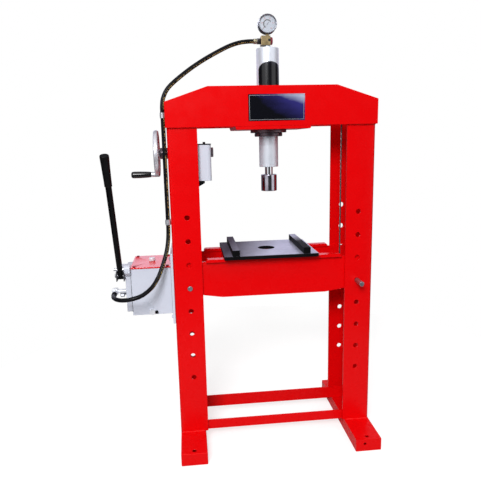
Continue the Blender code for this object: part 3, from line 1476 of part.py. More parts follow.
def handwheel():
    """The handwheel with its hub, spokes and grip boss, the bearing behind it and the turning grip."""
    y = -WINCH_AXIS_FRONT
    z = CRANK_HEIGHT
    x = -FRAME_HALF - WHEEL_OFFSET
    steps = WHEEL_RIM_FACETS
    rim = [
        (WHEEL_RADIUS + WHEEL_RIM * cos(2 * pi * i / steps), -WHEEL_RIM * sin(2 * pi * i / steps))
        for i in range(steps)
    ]
    item = turned("handwheel", rim, SILVER_STEEL, (x, y, z), (-1, 0, 0), facets=FINE_FACETS, ring=True)
    hub_start = x + WHEEL_HUB_LENGTH / 2
    hub_end = x - WHEEL_HUB_LENGTH / 2
    inward = 2 * WHEEL_RIM / 3
    spokes = []
    for index in range(WHEEL_SPOKES):
        angle = -pi / 2 + 2 * pi * index / WHEEL_SPOKES
        reach = WHEEL_RADIUS - WHEEL_RIM + OVERLAP
        tip = (x, y + reach * cos(angle), z + reach * sin(angle))
        spokes.append(rod((x, y, z), tip, SPOKE_RADIUS, SPOKE_TIP_RADIUS, facets=SMALL_FACETS))
    grip_z = z - WHEEL_RADIUS
    boss_end = x - WHEEL_RIM - GRIP_GAP
    weld(
        item,
        rod((hub_start, y, z), (hub_end, y, z), WHEEL_HUB_RADIUS, facets=MEDIUM_FACETS),
        spokes[0],
        spokes[1],
        spokes[2],
        rod((x + inward, y, grip_z), (boss_end, y, grip_z), GRIP_BOSS_RADIUS, facets=SMALL_FACETS),
        rod(
            (boss_end + OVERLAP, y, grip_z),
            (boss_end - GRIP_LENGTH, y, grip_z),
            GRIP_PIN_RADIUS,
            facets=SMALL_FACETS,
        ),
    )
    cut(
        item,
        rod(
            (hub_end - OVERRUN, y, z),
            (hub_start + OVERRUN, y, z),
            SHAFT_RADIUS + SEAT,
            facets=MEDIUM_FACETS,
        ),
    )
    start = -FRAME_HALF - SEAT
    bearing = [
        (BEARING_RADIUS, 0),
        (BEARING_RADIUS, -BEARING_LENGTH),
        (SHAFT_RADIUS + RUNNING, -BEARING_LENGTH),
        (SHAFT_RADIUS + RUNNING, 0),
    ]
    left = (start - BEARING_LENGTH, y, z)
    turned("shaft_bearing", bearing, BLACK, left, (-1, 0, 0), facets=MEDIUM_FACETS, ring=True)
    grip_start = boss_end - SEAT
    radius = GRIP_RADIUS
    bore = GRIP_PIN_RADIUS + RUNNING
    length = GRIP_LENGTH
    profile = [(bore, length), *((radius * a, length * b) for a, b in GRIP_SHARES), (bore, 0)]
    grip_end = (grip_start, y, grip_z)
    turned("crank_grip", profile, BLACK, grip_end, (-1, 0, 0), facets=MEDIUM_FACETS, ring=True)


# Hand pump

def pump_tank():
    """Mounting plate, oil tank, lid, filler cap and drain plug."""
    half = BRACKET_DEPTH / 2
    low = (BRACKET_FACE, -half, BRACKET_BOTTOM)
    plate = place("pump_mounting_plate", block(low, (-FRAME_HALF - SEAT, half, BRACKET_TOP)), GREY)
    for y in (-half + FIXING_INSET, half - FIXING_INSET):
        for z in (BRACKET_BOTTOM + FIXING_INSET, BRACKET_TOP - FIXING_INSET):
            start = BRACKET_FACE + OVERLAP
            end = BRACKET_FACE - FIXING_HEIGHT
            weld(plate, rod((start, y, z), (end, y, z), FIXING_RADIUS, facets=HEX_FACETS))
    front = TANK_FRONT
    low = (TANK_LEFT, -front, TANK_BOTTOM)
    high = (TANK_RIGHT, front, TANK_TOP)
    tank = place("pump_tank", block(low, high), GREY)
    wall = TANK_WALL
    cut(tank, block(
        (TANK_LEFT + wall, -front + wall, TANK_BOTTOM + wall),
        (TANK_RIGHT - wall, front - wall, TANK_TOP + OVERRUN),
    ))
    drain_x = (TANK_LEFT + TANK_RIGHT) / 2
    drain_z = TANK_BOTTOM + DRAIN_DROP
    base = TANK_TOP + SEAT
    proud = LID_PROUD
    left = TANK_LEFT - proud / 8
    lid_outline = [
        (left, -front - proud),
        (TANK_RIGHT, -front - proud),
        (TANK_RIGHT, front + proud),
        (left, front + proud),
    ]
    filler_x = (TANK_LEFT + TANK_RIGHT) / 2
    filler = circle(filler_x, 0, FILLER_STEM, MEDIUM_FACETS)
    middle = base + LID_WALL / 2
    lid = place("tank_lid", sheet([lid_outline, filler], LID_WALL, TOP_VIEW, (0, 0, middle), "tank_lid"), RED)
    lid_top = base + LID_WALL
    stem = FILLER_STEM - RUNNING
    cap = [
        (0, FILLER_HEIGHT),
        (FILLER_RADIUS - LID_PROUD, FILLER_HEIGHT),
        (FILLER_RADIUS, FILLER_HEIGHT - LID_PROUD),
        (FILLER_RADIUS, SEAT),
        (stem, SEAT),
        (stem, -2 * LID_WALL),
        (0, -2 * LID_WALL),
    ]
    turned("filler_cap", cap, SILVER_STEEL, (filler_x, 0, lid_top), facets=MEDIUM_FACETS)
    for x in (TANK_LEFT + LID_SCREW_INSET, TANK_RIGHT - LID_SCREW_INSET):
        for y in (-front + LID_SCREW_INSET, front - LID_SCREW_INSET):
            start = lid_top - OVERLAP
            weld(
                lid,
                rod((x, y, start), (x, y, lid_top + LID_SCREW_HEIGHT), LID_SCREW_RADIUS, facets=HEX_FACETS),
            )
    plug = -front - SEAT
    end = plug - DRAIN_LENGTH
    mesh = rod((drain_x, plug, drain_z), (drain_x, end, drain_z), DRAIN_RADIUS, facets=MEDIUM_FACETS)
    place("drain_plug", mesh, SILVER_STEEL)


def pump_head():
    """The casting on the tank's end: plate with the fulcrum lug and the plunger's boss."""
    top = TANK_TOP
    outline = rounded([
        (-PUMP_HEAD_FRONT, PUMP_HEAD_BOTTOM, PUMP_HEAD_CORNER),
        (PUMP_HEAD_REAR, PUMP_HEAD_BOTTOM, PUMP_HEAD_CORNER),
        (PUMP_HEAD_REAR, top, PUMP_HEAD_SHOULDER),
        (-LUG_REAR, top, PUMP_HEAD_CORNER),
        (-LUG_REAR, LUG_TOP, PUMP_HEAD_CORNER),
        (-LUG_FRONT, LUG_TOP, PUMP_HEAD_SHOULDER),
        (-LUG_FRONT, LUG_BOTTOM, PUMP_HEAD_SHOULDER / 2),
        (-PUMP_HEAD_FRONT, LUG_SLOPE_FOOT, PUMP_HEAD_SHOULDER / 2),
    ])
    middle = PUMP_FACE + PUMP_HEAD_WALL / 2
    mesh = sheet([outline], PUMP_HEAD_WALL, SIDE_VIEW, (middle, 0, 0), "pump_head")
    item = place("pump_head", mesh, SILVER)
    z = LINK_BOLT.z
    half = BOSS_HEIGHT / 2
    boss = block(
        (LEVER_X - BOSS_HALF_WIDTH, -BOSS_FRONT, z - half),
        (PUMP_FACE + OVERLAP, PUMP_HEAD_REAR - BOSS_HALF_WIDTH, z + half),
    )
    weld(item, boss)
    depth = -BOSS_FRONT + PLUNGER_LENGTH
    cut(
        item,
        rod(
            (LEVER_X, -BOSS_FRONT - OVERRUN, z),
            (LEVER_X, depth, z),
            PLUNGER_RADIUS + RUNNING,
            facets=MEDIUM_FACETS,
        ),
        rod((PUMP_FACE - OVERRUN, -FULCRUM_FRONT, FULCRUM_HEIGHT),
            (PUMP_FACE + PUMP_HEAD_WALL + OVERRUN, -FULCRUM_FRONT, FULCRUM_HEIGHT), FULCRUM_RADIUS + SEAT,
            facets=MEDIUM_FACETS),
    )


def pump_plunger():
    """The plunger with the slotted yoke round the lever's link bolt."""
    bolt = LINK_BOLT
    inner = LEVER_RADIUS + YOKE_SIDE_GAP
    outer = inner + YOKE_WALL
    half = YOKE_HEIGHT / 2
    bridge = bolt.y + YOKE_BACK_GAP
    item = place("pump_plunger", block(
        (LEVER_X - outer, bridge, bolt.z - half),
        (LEVER_X + outer, bridge + YOKE_BRIDGE, bolt.z + half),
    ), STEEL)
    cheeks = several([
        block((low, bolt.y - YOKE_REACH, bolt.z - half), (low + YOKE_WALL, bridge + OVERLAP, bolt.z + half))
        for low in (LEVER_X - outer, LEVER_X + inner)
    ], "yoke_cheeks")
    tail = bridge + YOKE_BRIDGE
    start = (LEVER_X, tail - OVERLAP, bolt.z)
    plunger = rod(start, (LEVER_X, tail + PLUNGER_LENGTH, bolt.z), PLUNGER_RADIUS, facets=MEDIUM_FACETS)
    weld(item, cheeks, plunger)
    width = YOKE_SLOT_WIDTH / 2
    height = YOKE_SLOT_HEIGHT / 2
    rest = bolt.z + height / 4
    slot = rounded([
        (bolt.y - width, rest - height, width / 2),
        (bolt.y + width, rest - height, width / 2),
        (bolt.y + width, rest + height, width / 2),
        (bolt.y - width, rest + height, width / 2),
    ], 3)
    cut(item, sheet([slot], 2 * (outer + OVERRUN), SIDE_VIEW, (LEVER_X, 0, 0), "yoke_slot"))


def lever():
    """The hand lever on its fulcrum pin, with the link bolt and the grip."""
    tail = FULCRUM - LEVER_TAIL * LEVER_UP
    top = FULCRUM + (LEVER_LENGTH - BARREL_CHAMFER) * LEVER_UP
    item = place("pump_lever", rod(tail, top, LEVER_RADIUS, facets=MEDIUM_FACETS), BLACK)
    reach = LEVER_RADIUS + OVERRUN
    for point, radius in ((FULCRUM, FULCRUM_RADIUS + RUNNING), (LINK_BOLT, BOLT_RADIUS + SEAT)):
        cut(
            item,
            rod(point - Vector((reach, 0, 0)), point + Vector((reach, 0, 0)), radius, facets=MEDIUM_FACETS),
        )
    inner = LEVER_GRIP_RADIUS
    bore = LEVER_RADIUS + SEAT
    start = LEVER_LENGTH - LEVER_GRIP_LENGTH
    wall = LEVER_GRIP_TIP - LEVER_RADIUS
    profile = [
        (0, LEVER_LENGTH + wall / 2),
        (LEVER_GRIP_TIP - wall / 2, LEVER_LENGTH + wall / 2),
        (LEVER_GRIP_TIP, LEVER_LENGTH - wall / 2),
        (LEVER_GRIP_TIP, LEVER_LENGTH - wall),
        (inner, start + wall / 2),
        (inner - wall / 4, start),
        (bore, start),
        (bore, LEVER_LENGTH),
        (0, LEVER_LENGTH),
    ]
    turned("lever_grip", profile, RUBBER, FULCRUM, LEVER_UP, facets=MEDIUM_FACETS)
    end = PUMP_FACE + PUMP_HEAD_WALL - OVERLAP
    start = end - FULCRUM_LENGTH
    mesh = rod(
        (start, FULCRUM.y, FULCRUM.z),
        (end, FULCRUM.y, FULCRUM.z),
        FULCRUM_RADIUS,
        facets=MEDIUM_FACETS,
    )
    pin = place("fulcrum_pin", mesh, STEEL)
    bolt_left = LEVER_X - LEVER_RADIUS - YOKE_SIDE_GAP - YOKE_WALL - SEAT
    bolt_right = LEVER_X + LEVER_RADIUS + YOKE_SIDE_GAP + YOKE_WALL
    y = LINK_BOLT.y
    z = LINK_BOLT.z
    mesh = rod((bolt_left - OVERLAP, y, z), (bolt_right, y, z), BOLT_RADIUS, facets=MEDIUM_FACETS)
    bolt = place("link_bolt", mesh, SILVER_STEEL)
    weld(bolt, rod((bolt_left - BOLT_HEAD, y, z), (bolt_left, y, z), BOLT_HEAD_RADIUS, facets=HEX_FACETS))
    return pin


def release_valve():
    """The fluted knob and stem that let the oil back into the tank."""
    y = -VALVE_FRONT
    z = VALVE_HEIGHT
    knob_right = PUMP_FACE - VALVE_KNOB_OFFSET
    knob_left = knob_right - VALVE_KNOB_LENGTH
    mesh = rod((knob_left, y, z), (knob_right, y, z), VALVE_KNOB_RADIUS, facets=FACETS)
    item = place("release_valve", mesh, SILVER_STEEL)
    flutes = []
    for index in range(VALVE_FLUTES):
        angle = 2 * pi * index / VALVE_FLUTES
        at_y = y + VALVE_KNOB_RADIUS * cos(angle)
        at_z = z + VALVE_KNOB_RADIUS * sin(angle)
        flutes.append(rod((knob_left - OVERRUN, at_y, at_z), (knob_right + OVERRUN, at_y, at_z),
                          VALVE_FLUTE_RADIUS, facets=SMALL_FACETS))
    cut(item, several(flutes, "flutes"))
    weld(
        item,
        rod((knob_right - OVERLAP, y, z), (PUMP_FACE - SEAT, y, z), VALVE_STEM_RADIUS, facets=SMALL_FACETS),
    )


def stand_on_the_origin():
    """Hangs all pieces and cutters on an empty at the press axis, off the world origin."""
    axis = bpy.data.objects.new("press_axis", None)
    axis.location = (AXIS_RIGHT, AXIS_BACK, 0)
    bpy.context.scene.collection.objects.link(axis)
    for item in list(PRESS.objects) + list(TOOLS.objects):
        item.parent = axis
    bpy.context.view_layer.update()


clear_scene()
PRESS = new_collection("hydraulic_shop_press")
TOOLS = new_collection("cutters")

RED = finish("red enamel", 234, 5, 9, 0.3)
SILVER = finish("silver paint", 222, 225, 236, 0.35)
GREY = finish("light grey paint", 213, 217, 231, 0.4)
BLACK = finish("black paint", 14, 14, 18, 0.35)
DARK_STEEL = finish("blackened steel", 34, 32, 34, 0.4, 0.8)
STEEL = finish("plain steel", 150, 150, 152, 0.35, 1.0)
SILVER_STEEL = finish("zinc plated steel", 205, 208, 214, 0.3, 1.0)
CHROME = finish("chrome plate", 220, 222, 228, 0.1, 1.0)
BRONZE = finish("bronze", 150, 110, 60, 0.4, 1.0)
BRASS = finish("brass", 160, 140, 80, 0.35, 1.0)
RUBBER = finish("black rubber", 12, 12, 13, 0.7)
HOSE_BLACK = finish("hose rubber", 24, 24, 28, 0.55)
ROPE_STEEL = finish("wire rope", 120, 118, 120, 0.5, 0.8)
WHITE = finish("white dial", 205, 212, 222, 0.5)
GLASS = finish("clear glass", 235, 240, 245, 0.05)

frame()
barrel()
collars()
ram(gland())
manifold()
gauge()
hose_fittings_and_hose()
hose_clip("upper_hose_clip", UPPER_CLIP_HEIGHT)
hose_clip("lower_hose_clip", LOWER_CLIP_HEIGHT)
bed()
ropes()
winch_bracket()
winch_housing()
winch_drum()
crank_shaft()
handwheel()
pump_tank()
pump_head()
pump_plunger()
lever()
release_valve()
stand_on_the_origin()
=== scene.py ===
"""The look of a hydraulic shop press: enamelled frame, cylinder, gauge, hose, hand pump, bed and winch.

Metres, +Z up. Pieces are drawn round the press axis, the cylinder's centre line, and piece() carries them to
where that axis stands in the solids. The floor is z = 0 and the front of the press faces -Y.
"""

import bmesh
import bpy
import numpy as np
from mathutils import Matrix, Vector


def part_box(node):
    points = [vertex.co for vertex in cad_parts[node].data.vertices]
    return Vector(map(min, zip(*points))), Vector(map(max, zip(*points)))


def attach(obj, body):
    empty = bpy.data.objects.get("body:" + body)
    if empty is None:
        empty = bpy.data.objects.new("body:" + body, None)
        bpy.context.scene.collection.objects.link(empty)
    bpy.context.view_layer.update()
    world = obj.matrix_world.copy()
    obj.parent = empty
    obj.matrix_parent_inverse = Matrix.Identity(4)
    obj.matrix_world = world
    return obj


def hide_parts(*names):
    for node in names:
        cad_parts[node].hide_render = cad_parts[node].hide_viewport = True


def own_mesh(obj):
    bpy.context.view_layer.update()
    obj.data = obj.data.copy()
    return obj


bl_info = {
    "name": "Hydraulic Shop Press",
    "version": (1, 0, 0),
    "blender": (4, 5, 0),
    "location": "3D View > Sidebar > Shop Press",
    "description": "Finishes, fittings, labels and stage of a shop press with a hand pump and a bed winch",
    "category": "Object",
}

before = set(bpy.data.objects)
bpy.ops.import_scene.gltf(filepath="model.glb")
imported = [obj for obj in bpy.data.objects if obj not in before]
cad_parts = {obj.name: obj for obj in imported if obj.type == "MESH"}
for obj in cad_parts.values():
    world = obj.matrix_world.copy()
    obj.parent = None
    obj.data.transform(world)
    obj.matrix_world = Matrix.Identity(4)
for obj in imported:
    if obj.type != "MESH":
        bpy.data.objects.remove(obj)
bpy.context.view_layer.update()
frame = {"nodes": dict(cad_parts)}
TURN = 2 * np.pi
X, Y, Z = np.eye(3)
PRESS_AXIS = np.mean(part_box("cylinder_barrel"), axis=0) * (1, 1, 0)


def corners(node):
    """A node's lowest and highest corner, from the press axis."""
    return np.array(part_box(node)) - PRESS_AXIS


def middle(node):
    """The centre of a node's box: half the sum of its two corners."""
    low, high = corners(node)
    return (low + high) / 2


def face_centre(node, axis, end):
    """One face's centre in a node's box: its middle, with the lowest (0) or highest (1) value of an axis."""
    centre = middle(node)
    centre[axis] = corners(node)[end][axis]
    return centre


def linear(hex_colour):
    """An sRGB hex value as a linear colour.

    Each channel is (c + 0.055) / 1.055 to the power 2.4, or c / 12.92 where it is nearly black.
    """
    channels = np.array([int(hex_colour[i:i + 2], 16) for i in (0, 2, 4)]) / 255
    curve = np.where(channels <= 0.04045, channels / 12.92, ((channels + 0.055) / 1.055) ** 2.4)
    return (*curve.tolist(), 1.0)


# Surfaces

def unit(vectors):
    """Each vector over its own length."""
    return vectors / np.maximum(np.linalg.norm(vectors, axis=-1, keepdims=True), 1e-12)


def lattice(rows, columns, wrap_rows=False, wrap_columns=False):
    """The quads of a grid of points, and their texture coordinates.

    A quad joins a point to the next in its row and in its column, and a wrapped side closes on the first. The
    coordinates are the row's share and the column's share, and reach 1 where a wrapped side closes.
    """
    row_steps = rows if wrap_rows else rows - 1
    column_steps = columns if wrap_columns else columns - 1
    row, column = np.meshgrid(np.arange(row_steps), np.arange(column_steps), indexing="ij")
    around = ((row, column), (row, column + 1), (row + 1, column + 1), (row + 1, column))
    quads = np.stack([r % rows * columns + c % columns for r, c in around], axis=-1)
    shares = np.stack([np.stack((r / row_steps, c / column_steps), axis=-1) for r, c in around], axis=-2)
    return quads.reshape(-1, 4), shares.reshape(-1, 2)


def soft(points, radii, closed=False, steps=5):
    """Rounds a line's corners: each B becomes (1-t)^2 A + 2t(1-t) B + t^2 C, A and C being on its sides."""
    points = np.asarray(points, float)
    radii = np.broadcast_to(np.asarray(radii, float), len(points))[:, None]
    before = np.roll(points, 1, axis=0) - points
    after = np.roll(points, -1, axis=0) - points
    start = points + unit(before) * np.minimum(radii, np.linalg.norm(before, axis=1, keepdims=True) / 2)
    end = points + unit(after) * np.minimum(radii, np.linalg.norm(after, axis=1, keepdims=True) / 2)
    if not closed:
        start[0] = end[0] = points[0]
        start[-1] = end[-1] = points[-1]
    t = np.linspace(0, 1, steps)[None, :, None]
    curve = (1 - t) ** 2 * start[:, None] + 2 * t * (1 - t) * points[:, None] + t ** 2 * end[:, None]
    return curve.reshape(-1, points.shape[1])


def turned(profile, origin=(0, 0, 0), direction=Z, segments=96, ring=False, wave=None):
    """A profile of (radius, height) carried round an axis: x = r cos t, y = r sin t, z = h.

    A ring's profile closes on itself, and wave(t, h) scales the radius.
    """
    radius, height = np.asarray(profile, float).T
    t = np.linspace(0, TURN, segments, endpoint=False)[:, None]
    spread = radius * (1 if wave is None else wave(t, height))
    local = np.stack(np.broadcast_arrays(np.cos(t) * spread, np.sin(t) * spread, height), axis=-1)
    third = unit(np.asarray(direction, float))
    helper = X if abs(third[0]) < 0.9 else Y
    first = unit(helper - third * (helper @ third))
    points = np.asarray(origin, float) + local @ np.array((first, np.cross(third, first), third))
    return points, *lattice(segments, len(height), True, ring)


def drum(radius, low, high, edge=0.0, hollow=0.0):
    """The profile of a disc or rod from low to high, or the closed one of a tube, with softened edges."""
    outline = [(hollow, high), (radius, high), (radius, low), (hollow, low)]
    return soft(outline, edge, closed=True) if hollow else soft(outline, [0, edge, edge, 0])


def hexagon(across, low, high, origin, direction, segments=48):
    """A nut or bolt head: the radius is the flat's distance over the cosine of the angle to the nearest flat.

    At both ends it stays under 1.06 of that distance, which gives the chamfer.
    """
    flat = across / 2
    chamfer = 0.12 * flat
    outline = [(0, high), (flat * 0.98, high), (flat, high - chamfer), (flat, low + chamfer),
               (flat * 0.98, low), (0, low)]

    def wave(t, height):
        full = 1 / np.cos((t + TURN / 12) % (TURN / 6) - TURN / 12)
        inner = (height > low + chamfer / 2) & (height < high - chamfer / 2)
        return np.where(inner, full, np.minimum(full, 1.06))
    return turned(outline, origin, direction, segments, wave=wave)


def swept(path, radii, reference, sides=16):
    """A round section along a path: p + r (n cos a + b sin a), n being the reference, square to the path."""
    path = np.asarray(path, float)
    radii = np.broadcast_to(np.asarray(radii, float), len(path))
    tangent = unit(np.gradient(path, axis=0))
    reference = np.broadcast_to(reference, path.shape)
    first = unit(reference - tangent * np.sum(reference * tangent, axis=1, keepdims=True))
    second = np.cross(tangent, first)
    a = np.linspace(0, TURN, sides, endpoint=False)[None, :, None]
    ring = np.cos(a) * first[:, None] + np.sin(a) * second[:, None]
    tube = path[:, None] + radii[:, None, None] * ring
    points = np.concatenate((np.repeat(path[:1, None], sides, 1), tube, np.repeat(path[-1:, None], sides, 1)))
    return points, *lattice(len(points), sides, False, True)


def rectangle(left, low, right, high):
    """The four corners of an upright rectangle."""
    return [(left, low), (right, low), (right, high), (left, high)]


def prism(outline, thickness, origin, across, up):
    """A flat plate: an outline in the plane of two directions, pulled half its thickness to each side."""
    outline = np.asarray(outline, float)
    count = len(outline)
    depth = np.cross(across, up) * thickness / 2
    flat = np.asarray(origin, float) + outline[:, :1] * across + outline[:, 1:] * up
    index = np.arange(count)
    following = (index + 1) % count
    sides = np.stack((index, following, following + count, index + count), axis=-1).tolist()
    faces = sides + [index[::-1].tolist(), (index + count).tolist()]
    return np.concatenate((flat - depth, flat + depth)), faces, None


def smooth_line(knots, spacing):
    """Even points on a smooth curve: a cubic through each four knots, then equal steps of its length."""
    knots = np.asarray(knots, float)
    ends = np.concatenate((2 * knots[:1] - knots[1:2], knots, 2 * knots[-1:] - knots[-2:-1]))
    a, b, c, d = (ends[i:len(ends) - 3 + i, None] for i in range(4))
    t = np.linspace(0, 1, 12, endpoint=False)[None, :, None]
    bend = (2 * a - 5 * b + 4 * c - d) * t ** 2 + (3 * b - 3 * c + d - a) * t ** 3
    fine = 0.5 * (2 * b + (c - a) * t + bend)
    fine = np.concatenate((fine.reshape(-1, 3), knots[-1:]))
    travelled = np.concatenate(([0], np.cumsum(np.linalg.norm(np.diff(fine, axis=0), axis=1))))
    steps = np.linspace(0, travelled[-1], round(travelled[-1] / spacing) + 1)
    return np.stack([np.interp(steps, travelled, fine[:, k]) for k in range(3)], axis=-1), travelled[-1]


# Pieces

def welded(name, points, faces, coordinates=None):
    """A mesh from arrays: points within a micron of each other merge, and the faces are turned outwards."""
    mesh = bpy.data.meshes.new(name)
    mesh.from_pydata(points.tolist(), [], faces)
    if coordinates is not None:
        mesh.uv_layers.new(name="UVMap").data.foreach_set("uv", coordinates.ravel())
    build = bmesh.new()
    build.from_mesh(mesh)
    bmesh.ops.remove_doubles(build, verts=build.verts, dist=1e-6)
    bmesh.ops.dissolve_degenerate(build, edges=build.edges, dist=1e-7)
    bmesh.ops.recalc_face_normals(build, faces=build.faces)
    build.to_mesh(mesh)
    build.free()
    return mesh


def finished(name, mesh, body, finish, replaces, crease):
    """An object for a mesh, with its finish, its body and the CAD nodes it stands for."""
    mesh.shade_smooth()
    mesh.set_sharp_from_angle(angle=np.radians(crease))
    mesh.materials.clear()
    mesh.materials.append(FINISHES[finish])
    item = bpy.data.objects.new(name, mesh)
    bpy.context.scene.collection.objects.link(item)
    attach(item, body)
    if replaces:
        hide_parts(*replaces)
    return item


def piece(name, body, finish, parts, replaces, crease=35):
    """A finished piece from (points, faces, map) parts, each moved by the press axis and numbered on."""
    vertices, faces, maps = [], [], []
    count = 0
    for points, polygons, coordinates in parts:
        points = np.asarray(points).reshape(-1, 3)
        vertices.append(points + PRESS_AXIS)
        if isinstance(polygons, np.ndarray):
            faces += (polygons + count).tolist()
        else:
            faces += [[index + count for index in face] for face in polygons]
        maps.append(np.zeros((sum(map(len, polygons)), 2)) if coordinates is None else coordinates)
        count += len(points)
    mesh = welded(name, np.concatenate(vertices), faces, np.concatenate(maps))
    return finished(name, mesh, body, finish, replaces, crease)


def rounded(item, width, segments):
    """Rounds a piece's sharp edges with a bevel of a width."""
    rounding = item.modifiers.new("rounded edges", "BEVEL")
    rounding.width = width
    rounding.segments = segments
    rounding.limit_method = "ANGLE"
    rounding.angle_limit = np.radians(40)
    rounding.harden_normals = True


def dressed(node, body, finish, width, segments=2):
    """A CAD node's own shape with its flat faces made whole and its edges rounded."""
    source = frame["nodes"][node]
    mesh = source.data.copy()
    mesh.name = node + "_skin"
    mesh.transform(source.matrix_world)
    build = bmesh.new()
    build.from_mesh(mesh)
    bmesh.ops.remove_doubles(build, verts=build.verts, dist=5e-6)
    bmesh.ops.dissolve_limit(build, angle_limit=np.radians(1.5), verts=build.verts, edges=build.edges)
    build.to_mesh(mesh)
    build.free()
    rounded(finished(node + "_skin", mesh, body, finish, (node,), 35), width, segments)


# Nodes of a material

ALL = slice(None)
# A Mix node's colours are its inputs 6 and 7 and its output 2, and its share is input 0
COLOURS = {"data_type": "RGBA", "output": 2}


def wire(tree, node, inputs):
    """Sets a node's inputs, given by place or name: a socket is linked, and anything else is a value."""
    for key, value in inputs.items() if isinstance(inputs, dict) else enumerate(inputs):
        if isinstance(value, bpy.types.NodeSocket):
            tree.links.new(value, node.inputs[key])
        else:
            node.inputs[key].default_value = value


def add(tree, kind, inputs=(), output=0, **settings):
    """Adds a shader node with its settings and links, and gives back one of its outputs."""
    node = tree.nodes.new("ShaderNode" + kind)
    for key, value in settings.items():
        setattr(node, key, value)
    wire(tree, node, inputs)
    return node.outputs[output]


def principled(name):
    """A new material with its node tree and its shader."""
    material = bpy.data.materials.new(name)
    material.use_nodes = True
    return material, material.node_tree, material.node_tree.nodes["Principled BSDF"]


def mottle(tree, size, detail, reach=None, amounts=(0, 1), stretch=(1, 1, 1)):
    """A cloudy pattern on the piece's own coordinates, its details a size in millimetres across.

    The noise's scale is 1000 over the size. Its reach, from a low to a high value, spreads over two amounts.
    """
    place = add(tree, "Mapping", {"Vector": add(tree, "TexCoord", output="Object"), "Scale": stretch})
    settings = {"Vector": place, "Scale": 1000 / size, "Detail": detail, "Roughness": 0.55}
    cloud = add(tree, "TexNoise", settings)
    return cloud if reach is None else add(tree, "MapRange", (cloud, *reach, *amounts))


# Finishes

def enamel(name, colour, deep, gloss, peel, shine=0.5, flake=0.0):
    """Stoved enamel, sprayed: reflections soft and slightly broken, the colour a little deeper in places.

    The cover varies over 260 mm, its grain over 9 mm and the dust in the gloss over 45 mm. Orange peel is
    3.2 mm across and at most 0.16 mm high.
    """
    material, tree, shader = principled(name)
    cover = mottle(tree, 260, 3, (0.35, 0.65), (0.5, 1))
    grain = mottle(tree, 9, 5, (0.42, 0.70), (0, 0.15))
    relief = {"Height": mottle(tree, 3.2, 2), "Distance": peel / 1000, "Strength": 0.35}
    base = add(tree, "Mix", {0: cover, 6: deep, 7: colour}, **COLOURS)
    wire(tree, shader, {
        "Base Color": add(tree, "Mix", {0: grain, 6: base, 7: deep}, **COLOURS),
        "Roughness": mottle(tree, 45, 6, (0.3, 0.7), (gloss - 0.03, gloss + 0.06)),
        "Normal": add(tree, "Bump", relief), "Specular IOR Level": shine, "Metallic": flake})
    return material


def metal(name, colour, tint, rough, spread=0.08, metallic=1.0, lines=1.2, stretch=(1, 1, 1), dark=0.25):
    """Bare or plated metal: a cloudy tint of 22 mm, fine tool marks, and a polish that varies over 14 mm.

    Real tool marks are about 0.1 mm apart and would not show, so they are drawn 0.5 to 1.2 mm apart.
    """
    material, tree, shader = principled(name)
    cloud = mottle(tree, 22, 5, (0.35, 0.68))
    marks = mottle(tree, lines, 4, stretch=stretch)
    shade = add(tree, "MapRange", (marks, 0.35, 0.65, 0, dark))
    base = add(tree, "Mix", {0: cloud, 6: linear(colour), 7: linear(tint)}, **COLOURS)
    wire(tree, shader, {
        "Base Color": add(tree, "Mix", {0: shade, 6: base, 7: linear("2A2A2C")}, **COLOURS),
        "Roughness": mottle(tree, 14, 5, (0.3, 0.7), (rough - spread / 2, rough + spread)),
        "Normal": add(tree, "Bump", {"Height": marks, "Distance": 0.02 / 1000, "Strength": 0.4}),
        "Metallic": metallic})
    return material


def rubber(name, colour, rough):
    """Moulded rubber: a pebbled skin of 1.2 mm that kills reflections, and a bloom of 30 mm that greys it."""
    material, tree, shader = principled(name)
    bloom = mottle(tree, 30, 5, (0.4, 0.75), (0, 0.5))
    relief = {"Height": mottle(tree, 1.2, 3), "Distance": 0.06 / 1000, "Strength": 0.5}
    wire(tree, shader, {
        "Base Color": add(tree, "Mix", {0: bloom, 6: linear(colour), 7: linear("17171B")}, **COLOURS),
        "Roughness": mottle(tree, 12, 4, (0.3, 0.7), (rough - 0.08, rough + 0.08)),
        "Normal": add(tree, "Bump", relief), "Specular IOR Level": 0.15})
    return material


def printed(name, colour, rough, metallic=0.0, speck=0.1):
    """A printed or moulded surface: one flat colour with a faint mottle of 4 mm."""
    material, tree, shader = principled(name)
    share = mottle(tree, 4, 4, (0.35, 0.7), (0, speck))
    base = add(tree, "Mix", {0: share, 6: linear(colour), 7: linear("808080")}, **COLOURS)
    wire(tree, shader, {"Base Color": base, "Roughness": rough, "Metallic": metallic})
    return material


